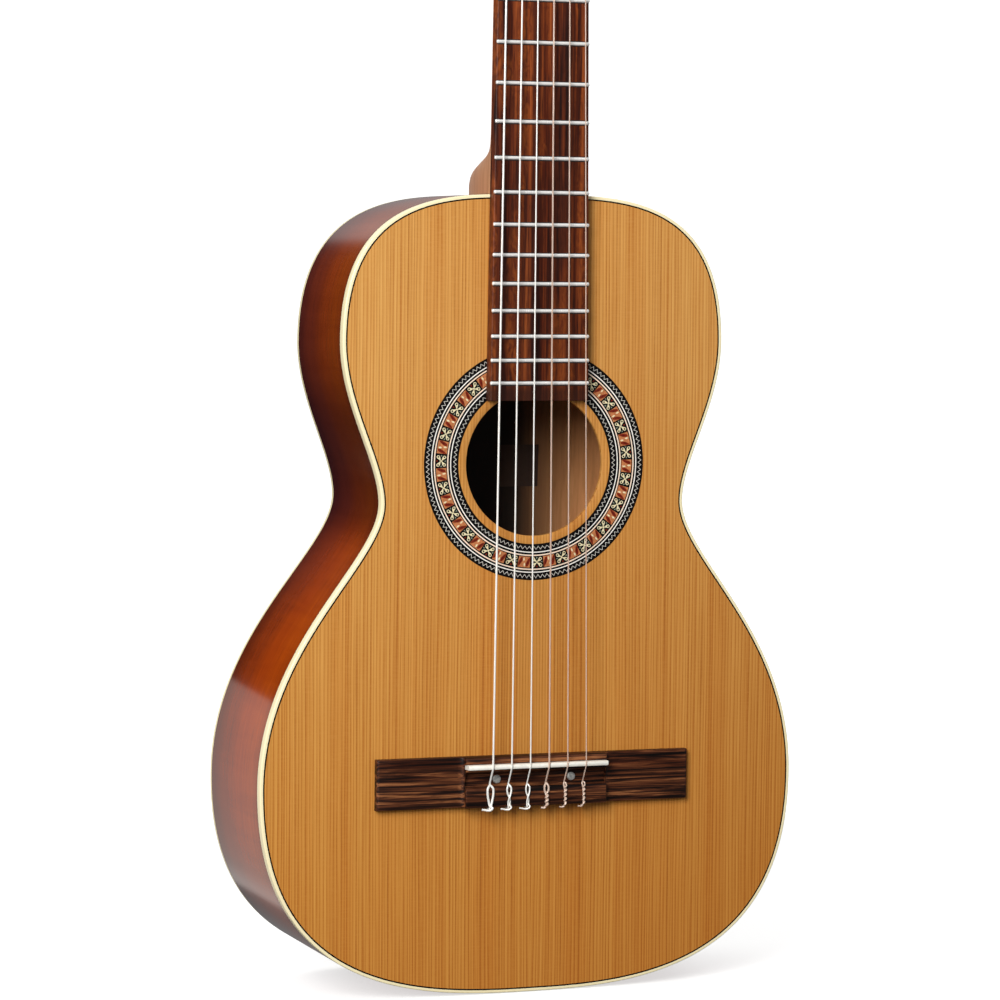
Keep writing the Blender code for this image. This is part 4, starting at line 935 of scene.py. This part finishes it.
hd = lambda p, n: head(p[0], p[1], n)
block = make("head_block", *prism(head_loop(), -20.0, -1.6, hd), NECK, body=None, smooth=0)
cutters = []
for side, tag in ((-1, "bass"), (1, "treble")):
    cutters.append(cutter("cut_slot_" + tag, *prism(slot_loop(side), -26.0, 6.0, hd)))
    for h in ROLLER_H:
        v, f = loft([[head(side * x, h + 5.45 * math.cos(a), ROLLER_N + 5.45 * math.sin(a)) for a in np.linspace(0, 2 * math.pi, 25)[:-1]] for x in (3.0, 41.0)])
        cutters.append(cutter(f"cut_bore_{tag}_{int(h)}", v, f))
cut(block, *cutters)
m = block.modifiers.new("bevel", "BEVEL")
m.width, m.segments, m.limit_method, m.angle_limit = 0.0009, 3, "ANGLE", math.radians(50)
bake(block)
block.data.materials.clear()
block.data.materials.append(NECK)
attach(block, "guitar")
plate = make("head_facing", *prism(head_loop(0.3), -1.5, 0.0, hd), VENEER, body=None, smooth=0)
cut(plate, *[c for c in cutters if c.name.startswith("cut_slot")])
m = plate.modifiers.new("bevel", "BEVEL")
m.width, m.segments, m.limit_method, m.angle_limit = 0.0005, 3, "ANGLE", math.radians(50)
bake(plate)
plate.data.materials.clear()
plate.data.materials.append(VENEER)
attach(plate, "guitar")
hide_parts("head_veneer")
for c in cutters:
    bpy.data.objects.remove(c)

# ================================================================= tuning machines
GEAR_R, WORM_R, WORM_X = 5.6, 2.4, 41.4
WORM_H = GEAR_R + WORM_R
LEAD = math.pi * 0.8
SIDE = 36.5


def local(side, h, x, y, z):
    """x out of the side, y up the head, z out of the face, from the roller's axis."""
    return head(side * x, h + y, ROLLER_N + z)


def turned(place, stations, seg=24):
    """Rings of (along, a, b) with a and b the two half widths."""
    return loft([[place(u, a * math.cos(t), b * math.sin(t)) for t in np.linspace(0, 2 * math.pi, seg + 1)[:-1]] for u, a, b in stations])


for k in range(1, 7):
    side, h = SIDE_OF[k]

    def along_z(u, a, b):
        return local(side, h, WORM_X + a, WORM_H + b, u)
    # button: flattened oval with a waisted neck
    st = [(-11.7, 1.6, 1.6), (-12.2, 2.3, 2.6), (-13.0, 2.9, 4.0), (-14.2, 3.35, 5.9), (-15.8, 3.6, 7.6), (-17.8, 3.7, 8.5), (-20.0, 3.65, 8.5), (-22.2, 3.4, 7.7), (-24.0, 2.9, 6.2), (-25.3, 2.1, 4.3), (-26.0, 1.1, 2.3), (-26.2, 0.3, 0.7)]
    make(f"button_{k}", *turned(along_z, st, 36), BUTTON, body=f"key_{k}", replaces=(f"tuner_key_{k}",), slot="tuner_buttons", smooth=60)
    st = [(8.3, 0.9, 0.9), (8.2, 1.22, 1.22), (4.95, 1.25, 1.25), (4.9, 1.65, 1.65), (-4.9, 1.65, 1.65), (-4.95, 1.25, 1.25), (-9.2, 1.25, 1.25), (-9.3, 1.9, 1.9), (-10.2, 2.2, 2.2), (-11.4, 2.2, 2.2), (-11.9, 1.7, 1.7)]
    shaft = turned(along_z, st, 28)
    rings = []
    steps = 96
    for i in range(steps + 1):
        c = (i / steps - 0.5) * 3.2
        t = math.pi / 2 + 2 * math.pi * c
        taper = min(1.0, (1.6 - abs(c)) / 0.12 + 0.15)
        sec = [(1.55, -0.55), (1.65 + 1.3 * taper, -0.2), (1.65 + 1.3 * taper, 0.2), (1.55, 0.55)]
        rings.append([local(side, h, WORM_X + rr_ * math.cos(t), WORM_H + rr_ * math.sin(t), LEAD * c + dz) for rr_, dz in sec])
    make(f"worm_{k}", *join([shaft, loft(rings)]), STEEL, body=f"key_{k}", slot="tuner_buttons", smooth=40)

    def along_x(u, a, b):
        return local(side, h, u, a, b)
    st = [(3.4, 4.2, 4.2), (3.55, 4.75, 4.75), (4.0, 5.0, 5.0), (35.6, 5.0, 5.0), (36.2, 4.7, 4.7), (36.2, 2.0, 2.0), (39.95, 2.0, 2.0)]
    make(f"roller_{k}_barrel", *turned(along_x, st, 40), ROLLER, body=f"roller_{k}", replaces=(f"string_roller_{k}",), slot="string_rollers", smooth=40)
    twist = LEAD / (2 * math.pi * WORM_R) / GEAR_R
    rings = []
    for x in np.linspace(39.9, 42.9, 5):
        ring = []
        for i in range(14):
            for r_, a in ((4.55, -0.33), (4.62, -0.27), (5.95, -0.14), (6.15, -0.09), (6.15, 0.09), (5.95, 0.14), (4.62, 0.27), (4.55, 0.33)):
                t = 2 * math.pi * (i + a) / 14 + (x - WORM_X) * twist
                ring.append(local(side, h, x, r_ * math.cos(t), r_ * math.sin(t)))
        rings.append(ring)
    st = [(42.7, 2.4, 2.4), (43.3, 2.6, 2.6), (43.9, 2.45, 2.45), (44.15, 1.9, 1.9)]
    make(f"roller_{k}_wheel", *loft(rings), BRASS, body=f"roller_{k}", slot="string_rollers", smooth=30)
    screw = make(f"roller_{k}_screw", *turned(along_x, st, 28), STEEL, body=None, smooth=40)
    a = math.radians(20 + 37 * k)
    ca, sa = math.cos(a), math.sin(a)
    sl = cutter(f"cut_driver_{k}", *prism([(u * ca - w * sa, u * sa + w * ca) for u, w in ((-3, -0.28), (3, -0.28), (3, 0.28), (-3, 0.28))], 43.6, 45.0, lambda p, x: local(side, h, x, p[0], p[1])))
    cut(screw, sl)
    bake(screw)
    bpy.data.objects.remove(sl)
    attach(screw, f"roller_{k}")

for side, tag in ((-1, "bass"), (1, "treble")):
    sp = lambda p, x: head(side * x, p[0], p[1])
    loop = []
    for h, n, da in ((129.5, -5.3, 0), (30.5, -5.3, 90), (30.5, -13.7, 180), (129.5, -13.7, 270)):
        for a in np.linspace(0, 90, 7):
            t = math.radians(da + a)
            loop.append((h + 3.5 * math.cos(t), n + 3.5 * math.sin(t)))
    o = make("machine_plate_" + tag, *prism(loop, SIDE + 0.1, SIDE + 1.3, sp), BRASS, replaces=("tuner_plate_" + tag,), slot="tuner_plates", smooth=35, bevel=0.25, segs=3)
    lugs = []
    for h in ROLLER_H:
        hc = h + WORM_H
        for sgn in (-1, 1):
            n = ROLLER_N + sgn * 6.4
            lp = [(SIDE + 0.9, hc - 3.3), (WORM_X + 0.4, hc - 3.3)] + [(WORM_X + 0.0 + 3.3 * math.cos(t), hc + 3.3 * math.sin(t)) for t in np.linspace(-math.pi / 2 + 0.15, math.pi / 2 - 0.15, 11)] + [(WORM_X + 0.4, hc + 3.3), (SIDE + 0.9, hc + 3.3)]
            ring_out = [head(side * a, b, n - 1.0) for a, b in lp]
            # each lug is a plate with a hole for the worm's shaft
            nh = 24
            hole = [(WORM_X + 1.36 * math.cos(t), hc + 1.36 * math.sin(t)) for t in np.linspace(0, 2 * math.pi, nh + 1)[:-1]]
            lug = make(f"lug_tmp", *prism(lp, n - 1.05, n + 1.05, lambda p, q: head(side * p[0], p[1], q)), BRASS, body=None, smooth=0)
            hc_ = cutter("cut_lug", *prism(hole, n - 3, n + 3, lambda p, q: head(side * p[0], p[1], q)))
            cut(lug, hc_)
            m = lug.modifiers.new("bevel", "BEVEL")
            m.width, m.segments, m.limit_method, m.angle_limit = 0.00022, 2, "ANGLE", math.radians(50)
            bake(lug)
            co = [tuple(q.co) for q in lug.data.vertices]
            lugs.append((co, [tuple(p.vertices) for p in lug.data.polygons]))
            bpy.data.objects.remove(lug)
            bpy.data.objects.remove(hc_)
    make("machine_lugs_" + tag, *join(lugs), BRASS, slot="tuner_plates", smooth=35)
    # plate screws, round heads
    screws = []
    for h in (33.0, 62.5, 97.5, 128.0):
        ang = math.radians(h * 2.3)
        st = [(1.05, 2.0), (1.6, 1.95), (2.0, 1.6), (2.2, 0.9), (2.25, 0.3)]
        screws.append(loft([[head(side * (SIDE + u), h + r_ * math.cos(t), -9.5 + r_ * math.sin(t)) for t in np.linspace(0, 2 * math.pi, 25)[:-1]] for u, r_ in st]))
    make("plate_screws_" + tag, *join(screws), STEEL, slot="tuner_plates", smooth=50)

# ================================================================= pieces kept from the CAD model
for name in ("lining_bass", "lining_treble", "tail_block", "harmonic_bar_upper", "fan_bracing", "back_bracing"):
    o = NODES[name]
    o.data.materials.clear()
    o.data.materials.append(SPRUCE if name != "tail_block" else NECK)

# ================================================================= stage
def stage_mesh(name, verts, faces, mat):
    me = bpy.data.meshes.new(name)
    me.from_pydata(verts, [], faces)
    me.materials.append(mat)
    me.shade_smooth()
    o = bpy.data.objects.new(name, me)
    scene.collection.objects.link(o)
    o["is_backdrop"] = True
    return o


def pale(name, glow):
    k = Mat(name, rough=0.9, spec=0.05)
    n = k.noise(k.stretch(1, 1, 1), 1.2, 2.0)
    k.colour(k.mix(n, (0.61, 0.61, 0.605, 1.0), (0.63, 0.63, 0.625, 1.0)))
    k.set("Emission Color", (1.0, 1.0, 1.0, 1.0))
    k.set("Emission Strength", glow)
    return k.m


ZF = CAD_LO[2] - 0.0004
PALE, PALE_FAR = pale("pale_floor", 0.62), pale("pale_wall", 0.90)


def disc(name, prof, mat, seg=96):
    """Rings (radius, height) turned about the vertical axis; radius 0 closes the middle."""
    verts, faces = [], []
    for r, z in prof:
        verts += [(r * math.cos(2 * math.pi * i / seg), r * math.sin(2 * math.pi * i / seg), ZF + z) for i in range(seg)]
    for k in range(len(prof) - 1):
        for i in range(seg):
            j = (i + 1) % seg
            faces.append((k * seg + i, k * seg + j, (k + 1) * seg + j, (k + 1) * seg + i))
    if prof[0][0] < 0.01:
        faces.append(tuple(range(seg)))
    return stage_mesh(name, verts, faces, mat)


near = disc("floor_near", [(0.005, 0.0), (0.35, 0.0), (0.70, 0.0)], PALE)
near.visible_diffuse = False
near.visible_glossy = False
round_wall = disc("floor_and_wall", [(0.70, 0.0), (2.0, 0.0), (6.0, 0.0)] + [(6.0 + 2.0 * math.sin(a), 2.0 - 2.0 * math.cos(a)) for a in np.linspace(0.12, math.pi / 2, 10)] + [(8.0, 6.0)], PALE_FAR)
round_wall.visible_glossy = False
round_wall.visible_diffuse = False
round_wall.visible_transmission = False
round_wall.visible_shadow = False

# studio surround that only the object and the floor see: soft light all round, with two dark flags
world = bpy.data.worlds.new("studio")
scene.world = world
world.use_nodes = True
wt = world.node_tree
bg = wt.nodes["Background"]


def wn(kind, *ins, **kw):
    n = wt.nodes.new(kind)
    for a_, v_ in kw.items():
        setattr(n, a_, v_)
    for i_, v_ in enumerate(ins):
        if isinstance(v_, bpy.types.NodeSocket):
            wt.links.new(v_, n.inputs[i_])
        elif v_ is not None:
            n.inputs[i_].default_value = v_
    return n.outputs[0]


def wmath(op, a_, b_=None):
    return wn("ShaderNodeMath", a_, b_, operation=op)


def wband(v_, lo0, lo1, hi0, hi1):
    """1 between lo1 and hi0, fading to 0 at lo0 and hi1"""
    up = wn("ShaderNodeMapRange", v_, lo0, lo1, 0.0, 1.0, interpolation_type="SMOOTHSTEP")
    dn = wn("ShaderNodeMapRange", v_, hi0, hi1, 1.0, 0.0, interpolation_type="SMOOTHSTEP")
    return wmath("MULTIPLY", up, dn)


tc = wt.nodes.new("ShaderNodeTexCoord").outputs["Generated"]
sep = wt.nodes.new("ShaderNodeSeparateXYZ")
wt.links.new(tc, sep.inputs[0])
wx, wy, wz = sep.outputs
back = wmath("MAXIMUM", wy, 0.02)
front = wmath("MAXIMUM", wmath("MULTIPLY", wy, -1.0), 0.02)
flag_back = wmath("MULTIPLY", wband(wmath("DIVIDE", wx, back), -0.75, -0.58, -0.11, -0.03), wband(wmath("DIVIDE", wz, back), -0.60, -0.50, 0.31, 0.37))
flag_back = wmath("MULTIPLY", flag_back, wmath("GREATER_THAN", wy, 0.05))
flag_front = wmath("MULTIPLY", wband(wmath("DIVIDE", wx, front), -0.25, 0.15, 0.60, 1.0), wband(wmath("DIVIDE", wz, front), -0.7, -0.35, 0.25, 0.6))
flag_front = wmath("MULTIPLY", flag_front, wmath("GREATER_THAN", wy, -2.0))
keep = wmath("MULTIPLY", wmath("SUBTRACT", 1.0, wmath("MULTIPLY", flag_back, 0.97)), wmath("SUBTRACT", 1.0, wmath("MULTIPLY", flag_front, 0.75)))
sky = wn("ShaderNodeMapRange", wz, -0.5, 1.0, 0.16, 0.55)
# a bright backdrop behind, above and to the right of the dark one
lit = wmath("MULTIPLY", wmath("MULTIPLY", wband(wmath("DIVIDE", wz, back), 0.30, 0.38, 2.0, 3.0), wband(wmath("DIVIDE", wx, back), -1.2, -0.8, 1.5, 2.5)), wmath("GREATER_THAN", wy, 0.05))
sky = wmath("ADD", sky, wmath("MULTIPLY", lit, 0.40))
wt.links.new(wmath("MULTIPLY", sky, keep), bg.inputs["Strength"])
bg.inputs["Color"].default_value = (1.0, 1.0, 1.0, 1.0)


def area(name, loc, target, size, power, colour=(1, 1, 1), size_y=None, camera=False):
    l = bpy.data.lights.new(name, "AREA")
    l.shape = "RECTANGLE"
    l.size, l.size_y = size, size_y or size
    l.energy = power
    l.color = colour
    o = bpy.data.objects.new(name, l)
    o.location = loc
    o.rotation_mode = "QUATERNION"
    o.rotation_quaternion = (Vector(target) - Vector(loc)).to_track_quat("-Z", "Y")
    o.visible_camera = camera
    scene.collection.objects.link(o)
    return o


area("key", (-1.25, -1.55, 1.12), (0.0, 0.0, 0.32), 0.8, 48.0, size_y=1.2)
area("fill_behind", (1.6, 2.4, 2.3), (0.0, 0.0, 0.40), 1.5, 22.0)
# a low white card beside the lower bout, seen only as a sheen in the lacquer
area("low_card", (-0.30, 0.265, 0.0425), (-0.14, 0.0, 0.0425), 0.36, 0.200, (1.0, 0.95, 0.90), size_y=0.325)

# camera: in front, 20 degrees round to the bass side, looking slightly down
C = (-762.93, -2004.79, 420.59)
right, down, fwd = Vector((0.93799, -0.34654, 0.00942)), Vector((-0.01327, -0.06302, -0.99792)), Vector((0.34641, 0.93592, -0.06371))
cam = bpy.data.cameras.new("camera")
cam.sensor_width, cam.lens = 36.0, 135.311
cam_o = bpy.data.objects.new("camera", cam)
scene.collection.objects.link(cam_o)
rot = Matrix((right, -down, -fwd)).transposed()
cam_o.matrix_world = Matrix.Translation(Vector(P(*C))) @ rot.to_4x4()
cam.clip_end = 100.0
scene.camera = cam_o
scene.view_settings.view_transform = "Standard"

lo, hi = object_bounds()
